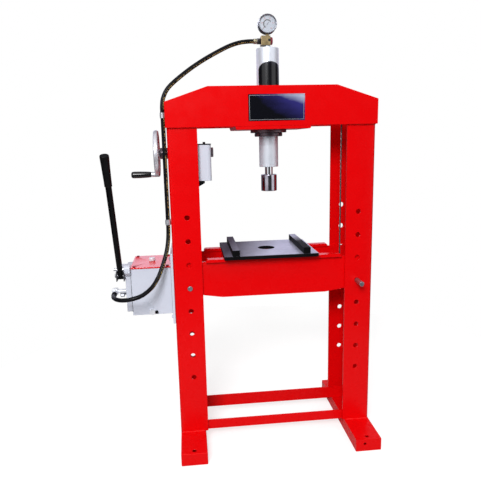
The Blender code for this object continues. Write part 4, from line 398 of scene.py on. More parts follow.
def hose_finish(length):
    """Extruded nitrile hose cover: smooth, nearly black rubber, wrapped in fine ridges, with a gold lay-line.

    The line is where the share around the hose is close to its own place, which moves to the front past the
    last clip. It is broken by a noise of 4 mm, in place of print. The ridges are sin(2.1 s), s being
    millimetres along the hose, so they are 3 mm apart, coarser than real ones.
    """
    material, tree, shader = principled("hose cover, extruded nitrile with a printed lay-line")
    shares = add(tree, "UVMap", output="UV", uv_map="UVMap")
    share_along, share_around, _ = add(tree, "SeparateXYZ", (shares,), ALL)
    along = add(tree, "Math", (share_along, length * 1000), operation="MULTIPLY")
    around = add(tree, "Math", (share_around, 44.0), operation="MULTIPLY")
    place = add(tree, "CombineXYZ", (along, around))
    letters = add(tree, "TexNoise", {"Vector": place, "Scale": 0.26, "Detail": 2.0})
    ink = add(tree, "MapRange", (letters, 0.51, 0.54, 0, 1))
    line_place = add(tree, "MapRange", (share_along, 0.83, 0.93, 0.91, 0.60))
    off = add(tree, "Math", (share_around, line_place), operation="SUBTRACT")
    off = add(tree, "Math", (off,), operation="ABSOLUTE")
    band = add(tree, "MapRange", (off, 0.024, 0.040, 1, 0))
    share = add(tree, "Math", (ink, band), operation="MULTIPLY")
    cloud = mottle(tree, 16, 4, (0.35, 0.7))
    cover = add(tree, "Mix", {0: cloud, 6: linear("050508"), 7: linear("0D0D12")}, **COLOURS)
    gold = add(tree, "Mix", {0: mottle(tree, 8, 2), 6: linear("9A8048"), 7: linear("CDB578")}, **COLOURS)
    ridge = add(tree, "Math", (add(tree, "Math", (along, 2.1), operation="MULTIPLY"),), operation="SINE")
    wire(tree, shader, {
        "Base Color": add(tree, "Mix", {0: share, 6: cover, 7: gold}, **COLOURS),
        "Normal": add(tree, "Bump", {"Height": ridge, "Distance": 0.05 / 1000, "Strength": 0.5}),
        "Roughness": 0.32, "Specular IOR Level": 0.13})
    return material


def rope_finish(name, length, radius):
    """Galvanised wire rope: bright strands with dark oil between them, which twist along it.

    A strand's height is the sine of six turns around the rope plus one for each seven radii along it.
    """
    material, tree, shader = principled(name)
    shares = add(tree, "UVMap", output="UV", uv_map="UVMap")
    share_along, share_around, _ = add(tree, "SeparateXYZ", (shares,), ALL)
    along = add(tree, "Math", (share_along, length / (radius * 7) * TURN), operation="MULTIPLY")
    phase = add(tree, "Math", (share_around, 6 * TURN, along), operation="MULTIPLY_ADD")
    strand = add(tree, "Math", (phase,), operation="SINE")
    share = add(tree, "MapRange", (strand, -1, 0.2, 0, 1))
    wire(tree, shader, {
        "Base Color": add(tree, "Mix", {0: share, 6: linear("1B1A1C"), 7: linear("8E8C90")}, **COLOURS),
        "Normal": add(tree, "Bump", {"Height": strand, "Distance": 0.4 / 1000, "Strength": 0.8}),
        "Metallic": 0.85, "Roughness": 0.42})
    return material


def plate_finish():
    """Flame-cut mild steel: black mill scale on the sides, and on top a light lilac grey that is partly steel
    worn bare where work has slid and partly a painted reflection of the backdrop.

    The top is where the surface looks up. It turns from a dark purple-grey to that light grey from 150 mm
    left of the press axis on, on a slanting front 170 mm wide, and is rubbed in streaks 1.6 mm wide. The near
    end of the right bar's top is painted near black, a painted shade, and kept rough and dull.
    """
    material, tree, shader = principled("mild steel plate, mill scale with a worn top")
    upward = add(tree, "SeparateXYZ", (add(tree, "NewGeometry", output="Normal"),), 2)
    x, y, z = add(tree, "SeparateXYZ", (add(tree, "TexCoord", output="Object"),), ALL)
    slant = -0.3
    across = add(tree, "Math", (y, slant, x), operation="MULTIPLY_ADD")
    start = PRESS_AXIS[0] + slant * PRESS_AXIS[1] - 0.15
    bar_top = corners("press_plate")[1][2]
    worn = add(tree, "MapRange", (upward, 0.5, 0.95, 0, 1))
    bare = add(tree, "MapRange", (across, start, start + 0.17, 0, 1))
    bar = add(tree, "MapRange", (z, bar_top - 0.006, bar_top - 0.004, 0, 1))
    near = add(tree, "MapRange", (y, PRESS_AXIS[1] - 0.01, PRESS_AXIS[1] + 0.09, 1, 0))
    right = add(tree, "MapRange", (x, PRESS_AXIS[0], PRESS_AXIS[0] + 0.05, 0, 1))
    cloud = mottle(tree, 60, 6, (0.35, 0.68))
    streaks = mottle(tree, 1.6, 5, stretch=(0.15, 1, 1))
    rubbed = add(tree, "MapRange", (streaks, 0.40, 0.68, 0, 0.25))
    # scale is a painted shade: it paints the near end of the right bar's top near black (0A0A0E), rough and
    # dull
    scale = add(tree, "Math", (bar, near), operation="MULTIPLY")
    scale = add(tree, "Math", (scale, right), operation="MULTIPLY")
    unshaded = add(tree, "Math", (1.0, scale), operation="SUBTRACT")
    # The top's light lilac grey is partly bare steel and partly a painted reflection of the backdrop
    steel = add(tree, "Mix", {0: cloud, 6: linear("B4B4CC"), 7: linear("C8C8E0")}, **COLOURS)
    top = add(tree, "Mix", {0: bare, 6: linear("443A4A"), 7: steel}, **COLOURS)
    top = add(tree, "Mix", {0: rubbed, 6: top, 7: linear("3C3C48")}, **COLOURS)
    top = add(tree, "Mix", {0: scale, 6: top, 7: linear("0A0A0E")}, **COLOURS)
    side = add(tree, "Mix", {0: cloud, 6: linear("040406"), 7: linear("09090C")}, **COLOURS)
    polished = add(tree, "Math", (worn, bare), operation="MULTIPLY")
    polished = add(tree, "Math", (polished, unshaded), operation="MULTIPLY")
    wire(tree, shader, {
        "Base Color": add(tree, "Mix", {0: worn, 6: side, 7: top}, **COLOURS),
        "Roughness": add(tree, "MapRange", (polished, 0, 1, 0.62, 0.32)),
        "Metallic": add(tree, "MapRange", (polished, 0, 1, 0.0, 0.45)),
        "Normal": add(tree, "Bump", {"Height": streaks, "Distance": 0.03 / 1000, "Strength": 0.4}),
        "Specular IOR Level": 0.08})
    return material


def film(name, dark, bright, corner, rough=0.18, painted_glare=None):
    """Printed aluminium film under clear lacquer: a dark ground that lightens to one corner in faint streaks.

    The lightness is the shares across and up, each times its corner value, plus a streak of 26 mm. A painted
    glare, a pale blue-white painted reflection, can be mixed over the brightest corner, where the share up
    times
    0.55 and the lightness add up to more than 1.5.
    """
    material, tree, shader = principled(name)
    shares = add(tree, "UVMap", output="UV", uv_map="UVMap")
    across, up, _ = add(tree, "SeparateXYZ", (shares,), ALL)
    total = add(tree, "Math", (across, corner[0]), operation="MULTIPLY")
    total = add(tree, "Math", (up, corner[1], total), operation="MULTIPLY_ADD")
    streak = mottle(tree, 26, 3, (0.3, 0.7), (-0.08, 0.08), (0.4, 1, 1))
    total = add(tree, "Math", (total, streak), operation="ADD")
    share = add(tree, "MapRange", (total, 0.55, 1.35, 0, 1))
    base = add(tree, "Mix", {0: share, 6: linear(dark), 7: linear(bright)}, **COLOURS)
    # A painted glare: a pale blue-white painted reflection over the brightest corner
    if painted_glare:
        high = add(tree, "Math", (up, 0.55, total), operation="MULTIPLY_ADD")
        share = add(tree, "MapRange", (high, 1.50, 1.93, 0, 1))
        base = add(tree, "Mix", {0: share, 6: base, 7: linear(painted_glare)}, **COLOURS)
    wire(tree, shader, {"Base Color": base, "Metallic": 0.35, "Roughness": rough, "Coat Weight": 0.35,
                        "Coat Roughness": 0.08})
    return material


def clear_glass():
    """Float glass over the dial: clear and thin, seen by its reflection, which a haze of 40 mm softens."""
    material, tree, shader = principled("float glass, thin and clear")
    haze = mottle(tree, 40, 2, (0.3, 0.7), (0.015, 0.04))
    wire(tree, shader, {"Base Color": linear("F2F6FA"), "Roughness": haze, "Alpha": 0.10})
    return material


FINISHES = {}


def make_finishes(colours):
    """Every finish on the press, by the short name that its pieces use."""
    red = tuple(colours.frame), tuple(colours.frame_deep)
    grey = tuple(colours.tank), linear("CDD1E0")
    silver = tuple(colours.cylinder), linear("D6DEEC")
    FINISHES.update({
        # An even, deep red; the mirror-like lid takes the light in front of the press and looks paler
        "red": enamel("stove enamel, gloss signal red", *red, 0.26, 0.03, 0.13),
        "lid": enamel("stove enamel, gloss signal red, on the lid", *red, 0.12, 0.02, 0.62),
        # Aluminium flake in the paint gives the barrel a satin sheen from top to bottom
        "silver": enamel("stove enamel, silver grey on the cylinder", *silver, 0.42, 0.03, 0.35, 0.42),
        # Half-gloss sheet steel, and the same paint lumpy over a sand-cast skin
        "grey": enamel("stove enamel, light grey on the tank", *grey, 0.38, 0.05),
        "casting": enamel("stove enamel on a sand casting", *grey, 0.42, 0.16),
        # Blacks that stay dark, one with thin highlights and one polished like glass
        "black": enamel("air-dried enamel, black", linear("050507"), linear("09090C"), 0.28, 0.03, 0.12),
        "phenolic": enamel("phenolic moulding, black and polished", linear("08080A"), linear("101013"), 0.16,
                           0.02),
        # Pale, soft metal lustre on the rim and spokes, and a greyer, sharper one round the dial
        "wheel": metal("cast aluminium, turned and polished", "E6E6EE", "CFCFDA", 0.34, metallic=0.62,
                       lines=0.9, dark=0.12),
        "bezel": metal("gauge bezel, bright plated brass", "A4A5B0", "8C8E9A", 0.24, lines=0.9),
        # Near mirrors, with grinding marks that run round the rod
        "chrome": metal("hard chrome, ground and polished", "E4E6EC", "CFD2DA", 0.10, 0.04, lines=0.5,
                        stretch=(1, 1, 6), dark=0.10),
        "head": metal("hardened steel, ground and oiled", "BDBAC6", "A19EAC", 0.13, 0.05, lines=0.7,
                      stretch=(1, 1, 5), dark=0.12),
        # Oiled dark steels: black with a dull shine, black with a crisp one, and worn to brown-grey
        "dark": metal("blackened steel, oiled", "2B292B", "1A191B", 0.42, metallic=0.75, dark=0.35),
        "fitting": metal("steel hose fittings, blackened and oiled", "3A383C", "232226", 0.26, metallic=0.85,
                         dark=0.3),
        "collar": metal("blackened steel collars, worn and oiled", "8C7E88", "584E56", 0.40, metallic=0.75,
                        dark=0.3),
        # Bare steels, mid grey with clear highlights
        "steel": metal("mild steel, turned and oiled", "A6A6AA", "8C8C92", 0.32, lines=0.8),
        "pin": metal("drawn steel bar, oiled", "B4B3BD", "96949E", 0.30, metallic=0.9, lines=0.8),
        # Zinc plates: milky white, bright grey, and straw yellow
        "satin": metal("zinc plate, satin", "F2F3F8", "DFE2EC", 0.42, metallic=0.3, lines=0.9, dark=0.06),
        "zinc": metal("zinc plate, bright", "E2E4EA", "CBCED8", 0.30, metallic=0.8, lines=0.9, dark=0.15),
        "ferrule": metal("hose ferrule, yellow zinc plate", "DCD4BC", "BDB394", 0.24, metallic=0.9, dark=0.3),
        # Dulled yellow and brown metals
        "brass": metal("brass bar, sawn and milled", "B8A47C", "978560", 0.34, lines=1.1),
        "bronze": metal("bearing bronze, turned", "9A6E3C", "7E5830", 0.40),
        # Black that takes nearly no highlight
        "rubber": rubber("moulded rubber, black", "060607", 0.50),
        "plate": plate_finish(),
        # Blue-black grounds with a glint of the metal under them, the nameplate's with a painted glare in its
        # top right corner, and the bare metal round them
        "film": film("nameplate, printed aluminium film", "0C0D17", "44409E", (0.85, 0.55), painted_glare="DCE6FF"),
        "label": film("cylinder label, printed film", "0B0C12", "2A3047", (0.4, 0.6), 0.25),
        "border": printed("bare aluminium border of a label", "C9CCD4", 0.30, 0.6),
        # Flat colours of the dial: cool white ground, inks and a grey needle
        "dial": printed("dial, white enamelled tin", "C4CCDA", 0.45),
        "ink": printed("screen printing ink, black", "15161A", 0.5),
        "red ink": printed("screen printing ink, red", "C8503C", 0.5),
        "band": printed("screen printing ink, dark band", "1A1218", 0.5),
        "needle": printed("pressed aluminium needle, grey", "777984", 0.4),
        "glass": clear_glass(),
        # A dull dark red, and a black with no shine, painted as the shade inside a port
        "cap": printed("moulded cap, dark red", "7E1E2C", 0.35, speck=0.06),
        "port_shade": printed("painted shade inside a port", "0C0A08", 0.7),
    })


# The hose

HOSE_KNOTS = (
    (-0.04760, 0.00000, 1.39660), (-0.06211, 0.00000, 1.39660), (-0.09296, -0.00271, 1.39272),
    (-0.12838, -0.00932, 1.38134), (-0.16842, -0.02016, 1.36157), (-0.22260, -0.03819, 1.33042),
    (-0.27714, -0.06026, 1.29261), (-0.33120, -0.07916, 1.24719), (-0.35155, -0.08606, 1.21424),
    (-0.35700, -0.08800, 1.18501), (-0.35700, -0.08800, 1.15700), (-0.35700, -0.08800, 1.11540),
    (-0.35700, -0.08800, 1.03550), (-0.35700, -0.08800, 0.93150), (-0.35700, -0.08800, 0.85160),
    (-0.35700, -0.08800, 0.81000), (-0.35730, -0.08850, 0.78201), (-0.35972, -0.09446, 0.74793),
    (-0.36623, -0.10643, 0.71292), (-0.37874, -0.12123, 0.67465), (-0.39500, -0.13593, 0.63685),
    (-0.41621, -0.15604, 0.60737), (-0.44567, -0.18018, 0.58914), (-0.47691, -0.18786, 0.58011),
    (-0.50709, -0.18135, 0.57523), (-0.52929, -0.16543, 0.57319), (-0.54308, -0.14286, 0.57291),
    (-0.54740, -0.12630, 0.57300), (-0.54740, -0.11930, 0.57300), (-0.54740, -0.11230, 0.57300),
)
UPPER_CLIP_KNOT = HOSE_KNOTS[10]
LOWER_CLIP_KNOT = HOSE_KNOTS[15]
LINE_STEP = 0.010
UPPER_CRIMP = middle("upper_hose_fitting")
UPPER_NUT = face_centre("upper_hose_fitting", 0, 1)
BANJO_RADIUS = 0.0120
BANJO = np.array(HOSE_KNOTS[-1]) * (1, 0, 1) + Y * (corners("lower_hose_fitting")[1][1] - BANJO_RADIUS)
HEXAGON_ACROSS = 0.0165


def hydraulic_hose(diameter):
    """The hose from the manifold to the pump: a round section on a smooth line through knots.

    The section's reference turns from the front to the left where the hose runs back to the pump.
    """
    line, length = smooth_line(HOSE_KNOTS, LINE_STEP)
    turn = np.clip(unit(np.gradient(line, axis=0))[:, 1:2], 0, 1)
    reference = unit((1 - turn) * -Y + turn * -X)
    FINISHES["hose"] = hose_finish(length)
    hose = piece("hose", "frame", "hose", [swept(line, diameter / 2, reference, 32)], ("hydraulic_hose",),
                 60)


def crimp(mouth, low, first, high, ribs, origin, direction):
    """A crimped sleeve: between its mouths the radius is 8.4 + 0.4 cos(a) mm, a turn of a for each rib."""
    swell = 0.0084 + 0.0004 * np.cos(np.linspace(0, ribs * TURN, 25))
    profile = [(0, low), (mouth, low), *zip(swell, np.linspace(first, high, 25)), (mouth, high), (0, high)]
    return turned(profile, origin, direction, 48)


def hose_fittings():
    """The upper fitting's nut and crimp sleeve, and the pump end's banjo, bolt, collar and crimp sleeve."""
    nut = hexagon(HEXAGON_ACROSS, 0.0, 0.0120, UPPER_NUT, -X, 72)
    piece("upper_fitting", "frame", "fitting", [nut], ("upper_hose_fitting",), 30)
    sleeve = crimp(0.0074, 0.0, 0.0, 0.0120, 5, UPPER_CRIMP, -X)
    piece("upper_crimp", "frame", "ferrule", [sleeve], (), 30)
    ring = turned(drum(BANJO_RADIUS, -0.0073, 0.0073, 0.0012), BANJO, X, 64)
    head = hexagon(HEXAGON_ACROSS, 0.0, 0.0050, BANJO - 0.0075 * X, -X, 72)
    shank = turned(drum(0.0069, 0.0, 0.0300, 0.0005), BANJO + 0.0070 * X, X, 32)
    neck = turned([(0, 0), (0.0066, 0), (0.0066, 0.024), (0.0082, 0.0255), (0, 0.0255)], BANJO, -Y, 40)
    collar = turned([(0, 0.0240), (0.0076, 0.0240), (0.0080, 0.0250), (0.0080, 0.0380), (0, 0.0380)],
                    BANJO, -Y, 48)
    piece("lower_fitting", "frame", "satin", [ring, head, shank, neck, collar], ("lower_hose_fitting",),
          30)
    sleeve = crimp(0.0076, 0.0360, 0.0365, 0.0500, 4, BANJO, -Y)
    piece("lower_crimp", "frame", "fitting", [sleeve], (), 30)


def hose_clip(node, knot):
    """A strap bent round the hose at one of its knots, with a tab and a screw on the column's side."""
    x, y, height = knot
    side = corners(node)[1][0]
    band = [(0.0072, 0.0088), (0.0080, 0.0090), (0.0089, 0.0084), (0.0091, 0.0), (0.0089, -0.0084),
            (0.0080, -0.0090), (0.0072, -0.0088)]
    strap = turned(band, (x, y, height), Z, 56, ring=True)
    outline = soft(rectangle(-0.009, -0.009, 0.020, 0.009), 0.004, True)
    tab = prism(outline, 0.0018, (side - 0.0009, y + 0.009, height), Y, Z)
    screw = hexagon(0.0085, 0.0, 0.0030, (side - 0.0018, y + 0.021, height), -X)
    piece(node + "_strap", "frame", "zinc", [strap, tab, screw], (node,), 30)


# Frame

def frame_steelwork():
    """Columns, feet, ties, beam plates and crosshead, with their folded and sawn edges rounded."""
    widths = {"left_column": 0.0010, "right_column": 0.0010, "left_foot": 0.0025, "right_foot": 0.0025,
              "front_tie_bar": 0.0008, "rear_tie_bar": 0.0008, "front_beam_plate": 0.0010,
              "rear_beam_plate": 0.0010, "crosshead": 0.0010}
    for node, width in widths.items():
        dressed(node, "frame", "red", width)


def bead(start, end, width, ripple=0.0042):
    """A fillet weld: a round section on a straight line whose radius is w (0.86 + 0.16 |sin(pi s / ripple)|).

    The line wanders by a few tenths of a millimetre and the radius tapers over the last 3 mm.
    """
    start = np.asarray(start, float)
    end = np.asarray(end, float)
    length = np.linalg.norm(end - start)
    steps = max(int(length / ripple * 5), 10)
    t = np.linspace(0, 1, steps)[:, None]
    wander = 0.0004 * np.sin(t * length * 91) + 0.0003 * np.sin(t * length * 233)
    line = start + (end - start) * t + wander * Z
    ridge = width * (0.86 + 0.16 * np.abs(np.sin(np.pi * t[:, 0] * length / ripple)))
    taper = np.clip(np.minimum(t[:, 0], 1 - t[:, 0]) * length / 0.003, 0.25, 1)
    return swept(line, ridge * taper, np.array((0.2, 0.3, 1.0)), 10)


def frame_welds():
    """Weld beads where the columns stand on the feet, where they meet the beam and along the bed's strips."""
    foot_top = corners("right_foot")[1][2] + 0.0008
    beam_low = corners("front_beam_plate")[0][2] - 0.0008
    inner, outer = corners("right_column")
    lines = []
    for side in (-1, 1):
        for y in (inner[1] - 0.0009, outer[1] + 0.0009):
            for height, first, last, width in ((foot_top, inner[0] + 0.0090, outer[0] - 0.0015, 0.0042),
                                               (beam_low, inner[0] + 0.0015, outer[0] - 0.0010, 0.0030)):
                lines.append(bead((side * first, y, height), (side * last, y, height), width))
    piece("frame_welds", "frame", "red", lines, (), 60)
    half, height = 0.2330, 0.6674
    lines = [bead((-half, y, height), (half, y, height), 0.0026) for y in (-0.0936, 0.0936)]
    piece("bed_welds", "bed", "red", lines, (), 60)


# Cylinder

PISTON_UNDERSIDE = 1.3140
ROD_FOOT = 0.9235


def cylinder():
    """The barrel with its neck, the flange, the slotted ring nut and the gland, each a profile turned."""
    under, shoulder = (corner[2] for corner in corners("cylinder_flange"))
    seat = shoulder + 0.0003
    outer = [(0.0040, 1.3822), (0.0110, 1.3822), (0.0110, 1.3740), (0.0380, 1.3740), (0.0380, seat),
             (0.0330, seat), (0.0330, 0.9800), (0.0249, 0.9800), (0.0249, 1.3460), (0.0040, 1.3460)]
    rounding = (0.0, 0.0010, 0.0020, 0.0030, 0.0003, 0.0003, 0.0020, 0.0006, 0.0, 0.0)
    barrel = turned(soft(outer, rounding, True), segments=128, ring=True)
    piece("cylinder_tube", "frame", "silver", [barrel], ("cylinder_barrel",))
    flange = turned(drum(0.0620, under, shoulder, 0.0012, hollow=0.0332), segments=128, ring=True)
    piece("cylinder_collar", "frame", "collar", [flange], ("cylinder_flange",))
    dressed("cylinder_ring_nut", "frame", "collar", 0.0007)
    gland = turned(drum(0.0246, 0.9822, 1.0060, 0.0006, hollow=0.01385), ring=True)
    piece("gland_bush", "frame", "bronze", [gland], ("cylinder_gland",))


def ram():
    """Piston and rod, its seal, the return spring as a helix, and the ram head with its set screw.

    The spring hangs from the piston.
    """
    rod = soft([(0, 1.3440), (0.0247, 1.3440), (0.0247, 1.3340), (0.0212, 1.3340), (0.0212, 1.3275),
                (0.0247, 1.3275), (0.0247, PISTON_UNDERSIDE), (0.0137, PISTON_UNDERSIDE), (0.0137, ROD_FOOT),
                (0, ROD_FOOT)], 0.0006)
    piece("rod", "ram", "chrome", [turned(rod)], ("piston_and_rod",))
    seal = turned(drum(0.02482, 1.3277, 1.3337, 0.0008, hollow=0.0214), ring=True)
    piece("seal", "ram", "rubber", [seal], ("piston_seal",))
    head = soft([(0.0141, 0.9530), (0.0275, 0.9530), (0.0275, 0.8960), (0, 0.8960), (0, 0.9230),
                 (0.0141, 0.9230)], (0.0006, 0.0018, 0.0018, 0.0, 0.0, 0.0))
    piece("ram_head_shell", "ram", "head", [turned(head, segments=128)], ("ram_head",))
    screw = [(0.0, 0.0002), (0.0016, 0.0002), (0.0019, 0.0014), (0.0034, 0.0016), (0.0040, 0.0010),
             (0.0044, 0.0), (0.0, -0.001)]
    socket = turned(screw, (0, -0.0266, 0.9380), -Y, 40)
    piece("set_screw", "ram", "dark", [socket], (), 30)
    coils = 11
    angle = np.linspace(0, coils * TURN, coils * 40 + 1)
    height = np.interp(angle, (0, angle[-1]), (1.0085, 1.3120))
    line = np.stack((0.0195 * np.cos(angle), 0.0195 * np.sin(angle), height), axis=-1)
    coil = swept(line, 0.0018, Z, 10)
    spring = piece("spring", "ram", "steel", [coil], ("return_spring",), 60)
    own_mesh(spring)


# Manifold and gauge

GAUGE = middle("gauge_dial") * (1, 0, 1)
DIAL_FRONT = -0.0073
SWEEP_START = np.radians(225)
SWEEP = np.radians(270)
INK_THICKNESS = 0.0002


def manifold():
    """The sawn brass block with a near-black disc painted as the shade in its port, and its end plug, on
    the cylinder's neck.
    """
    low, high = corners("manifold_block")
    end = high[0] - 0.0085
    half = (high[2] - low[2]) / 2
    centre_height = (low[2] + high[2]) / 2
    block = prism(rectangle(low[0], -half, end, half), high[1] - low[1], (0, 0, centre_height), X, Z)
    rounded(piece("brass_block", "frame", "brass", [block], ("manifold_block",), 30), 0.0011, 3)
    # The port is a thin near-black disc on the block's front: a painted shade for the inside of the port
    socket = [(0.0, 0.0003), (0.0036, 0.0003), (0.0038, 0.0007), (0.0044, 0.0007), (0.0046, -0.0010),
              (0, -0.0010)]
    port = turned(socket, (0.0045, low[1], centre_height + 0.0005), -Y, 48)
    piece("port_shade_disc", "frame", "port_shade", [port], (), 30)
    profile = soft([(0, -0.0020), (0.0124, -0.0020), (0.0124, 0.0072), (0.0108, 0.0086), (0, 0.0086)],
                   (0, 0.0005, 0.001, 0.001, 0))
    plug = turned(profile, (end, 0, centre_height), X, 72)
    piece("end_plug", "frame", "cap", [plug], (), 30)


def dial_axes(angle):
    """The directions along and across a mark of the dial: (cos a, sin a) and (-sin a, cos a) in its plane."""
    return np.array((np.cos(angle), 0, np.sin(angle))), np.array((-np.sin(angle), 0, np.cos(angle)))


def arc_band(inner, outer, first, last, steps=72):
    """A flat band on the dial between two radii and two angles: a prism, its two faces split into quads."""
    angle = np.linspace(first, last, steps)
    arc = np.stack((np.cos(angle), np.sin(angle)), axis=-1)
    outline = np.concatenate((outer * arc, inner * arc[::-1]))
    points, faces, _ = prism(outline, INK_THICKNESS, GAUGE + Y * DIAL_FRONT, X, Z)
    step = np.arange(steps - 1)
    face = np.stack((step, step + 1, 2 * steps - 2 - step, 2 * steps - 1 - step), axis=-1)
    return points, faces[:-2] + face[:, ::-1].tolist() + (face + 2 * steps).tolist(), None


def numeral(text, centre, size):
    """A printed number facing the front: text made a mesh, its (x, y, z) turned to (x, -z, y)."""
    curve = bpy.data.curves.new("number", "FONT")
    curve.body = text
    curve.size = size
    curve.align_x = "CENTER"
    curve.align_y = "CENTER"
    curve.extrude = 0.00008
    item = bpy.data.objects.new("number", curve)
    bpy.context.scene.collection.objects.link(item)
    bpy.context.view_layer.update()
    mesh = bpy.data.meshes.new_from_object(item.evaluated_get(bpy.context.evaluated_depsgraph_get()))
    bpy.data.objects.remove(item, do_unlink=True)
    points = np.empty(len(mesh.vertices) * 3)
    mesh.vertices.foreach_get("co", points)
    x, y, z = points.reshape(-1, 3).T
    return centre + np.stack((x, -z, y), axis=-1), [list(face.vertices) for face in mesh.polygons], None


def gauge_case():
    """The gauge's cup, painted black as a painted shade on the case's side, rounded back and bezel, and its
    stem in the manifold, each a profile turned.
    """
    # The cup is painted black: a painted shade for the side of the case, in shadow between the light back and
    # bezel
    cup = soft([(0, 0.0100), (0.0303, 0.0100), (0.0303, -0.0085), (0.0290, -0.0090), (0.0290, 0.0085),
                (0, 0.0085)], (0, 0.0005, 0.0005, 0.0, 0.0, 0))
    piece("gauge_cup", "frame", "black", [turned(cup, GAUGE, Y, 128)], ("gauge_case",), 30)
    rear = soft([(0, 0.0140), (0.0300, 0.0140), (0.0318, 0.0120), (0.0318, 0.0080), (0.0302, 0.0080)],
                (0, 0.003, 0.0015, 0.0010, 0))
    piece("gauge_back", "frame", "bezel", [turned(rear, GAUGE, Y, 128)], (), 30)
    bezel = soft([(0.0302, -0.0084), (0.0314, -0.0090), (0.0314, -0.0124), (0.0300, -0.0140),
                  (0.0286, -0.0140), (0.0276, -0.0128), (0.0276, -0.0116), (0.0288, -0.0112)],
                 (0.0003, 0.001, 0.0015, 0.0014, 0.001, 0.0004, 0.0003, 0.0003), True)
    piece("gauge_bezel", "frame", "bezel", [turned(bezel, GAUGE, Y, 128, ring=True)], (), 30)
    top = corners("manifold_block")[1] * Z
    nut = hexagon(0.0118, 0.0002, 0.0036, top, Z, 60)
    shank = turned(drum(0.0052, 0.0030, 0.0070), top, Z, 40)
    piece("gauge_stem", "frame", "brass", [nut, shank], (), 30)


def gauge_dial():
    """The dial with ticks, numbers and a band round its centre, the needle at zero, and the glass.

    Ticks and numbers stand at equal steps of the 270 degree sweep. The glass is 0.3 (1 - (r / R)^2) mm high.
    """
    face = turned(drum(0.0283, 0.0072, -0.0118, 0.0002), GAUGE, -Y, 96)
    piece("dial_plate", "frame", "dial", [face], ("gauge_dial",), 30)
    front = GAUGE + Y * DIAL_FRONT
    marks = []
    for index in range(51):
        inner = 0.0222 if index % 10 == 0 else 0.0232 if index % 5 == 0 else 0.0240
        half = 0.0004 if index % 10 == 0 else 0.0002
        outline = rectangle(inner, -half, 0.0254, half)
        marks.append(prism(outline, INK_THICKNESS, front, *dial_axes(SWEEP_START - SWEEP * index / 50)))
    piece("dial_scale", "frame", "ink", marks, (), 30)
    band = arc_band(0.0108, 0.0146, np.radians(32), np.radians(238))
    piece("dial_band", "frame", "band", [band], (), 30)
    numbers = []
    for index in range(6):
        along, _ = dial_axes(SWEEP_START - SWEEP * index / 5)
        numbers.append(numeral(str(index * 10), front + 0.0188 * along, 0.0056))
    piece("dial_numbers", "frame", "red ink", numbers, (), 30)
    tail, width, reach = -0.008, 0.0007, 0.0222
    outline = [(tail, -width), (0, -width * 0.9), (reach, -0.0002), (reach, 0.0002), (0, width * 0.9),
               (tail, width)]
    pointer = prism(outline, 0.0006, GAUGE - 0.0079 * Y, *dial_axes(SWEEP_START))
    hub = turned(drum(0.0018, 0.0076, 0.0088, 0.0004), GAUGE, -Y, 32)
    piece("pointer", "needle", "needle", [pointer, hub], ("gauge_needle",), 30)
    radius = np.linspace(0, 0.0282, 12)
    crown = 0.0114 + 0.0003 * (1 - (radius / 0.0282) ** 2)
    glass = [*zip(radius, crown), *zip(radius[::-1], crown[::-1] - 0.0013)]
    piece("glass", "frame", "glass", [turned(glass, GAUGE, -Y, 96)], ("gauge_lens",), 30)


# Hand pump

FILLER_AXIS = middle("filler_cap") * (1, 1, 0)
DRAIN_PLUG = face_centre("drain_plug", 1, 1) - 0.0015 * X
DRAIN_DARK_DISC = DRAIN_PLUG + (0.0148, 0, -0.0008)
VALVE = face_centre("release_valve", 0, 0)
FULCRUM = middle("fulcrum_pin") * (0, 1, 1) + middle("lever_grip") * X
LINK_BOLT = FULCRUM + (-0.0138, 0.0100, -0.0240)
LEAN = np.radians(22.5)
LEVER_WAY = np.array((0.0, -np.sin(LEAN), np.cos(LEAN)))


def tank():
    """Mounting plate, tank and lid, the dark seams round the tank, and the pump's casting and plunger."""
    dressed("pump_mounting_plate", "frame", "grey", 0.0009)
    dressed("pump_tank", "frame", "grey", 0.0011)
    dressed("tank_lid", "frame", "lid", 0.0006)
    tank_low, tank_high = corners("pump_tank")
    head_low, head_high = corners("pump_head")
    proud = 0.0004
    for name, x, rear, low in (("pump_gasket", tank_low[0], head_high[1], head_low[2]),
                               ("plate_gasket", tank_high[0], tank_high[1], tank_low[2])):
        outline = rectangle(tank_low[1] - proud, low - proud, rear + proud, tank_high[2] - proud)
        piece(name, "frame", "rubber", [prism(outline, 0.0010, (x, 0, 0), Y, Z)], (), 30)
    dressed("pump_head", "frame", "casting", 0.0020, 3)
    dressed("pump_plunger", "plunger", "steel", 0.0005)


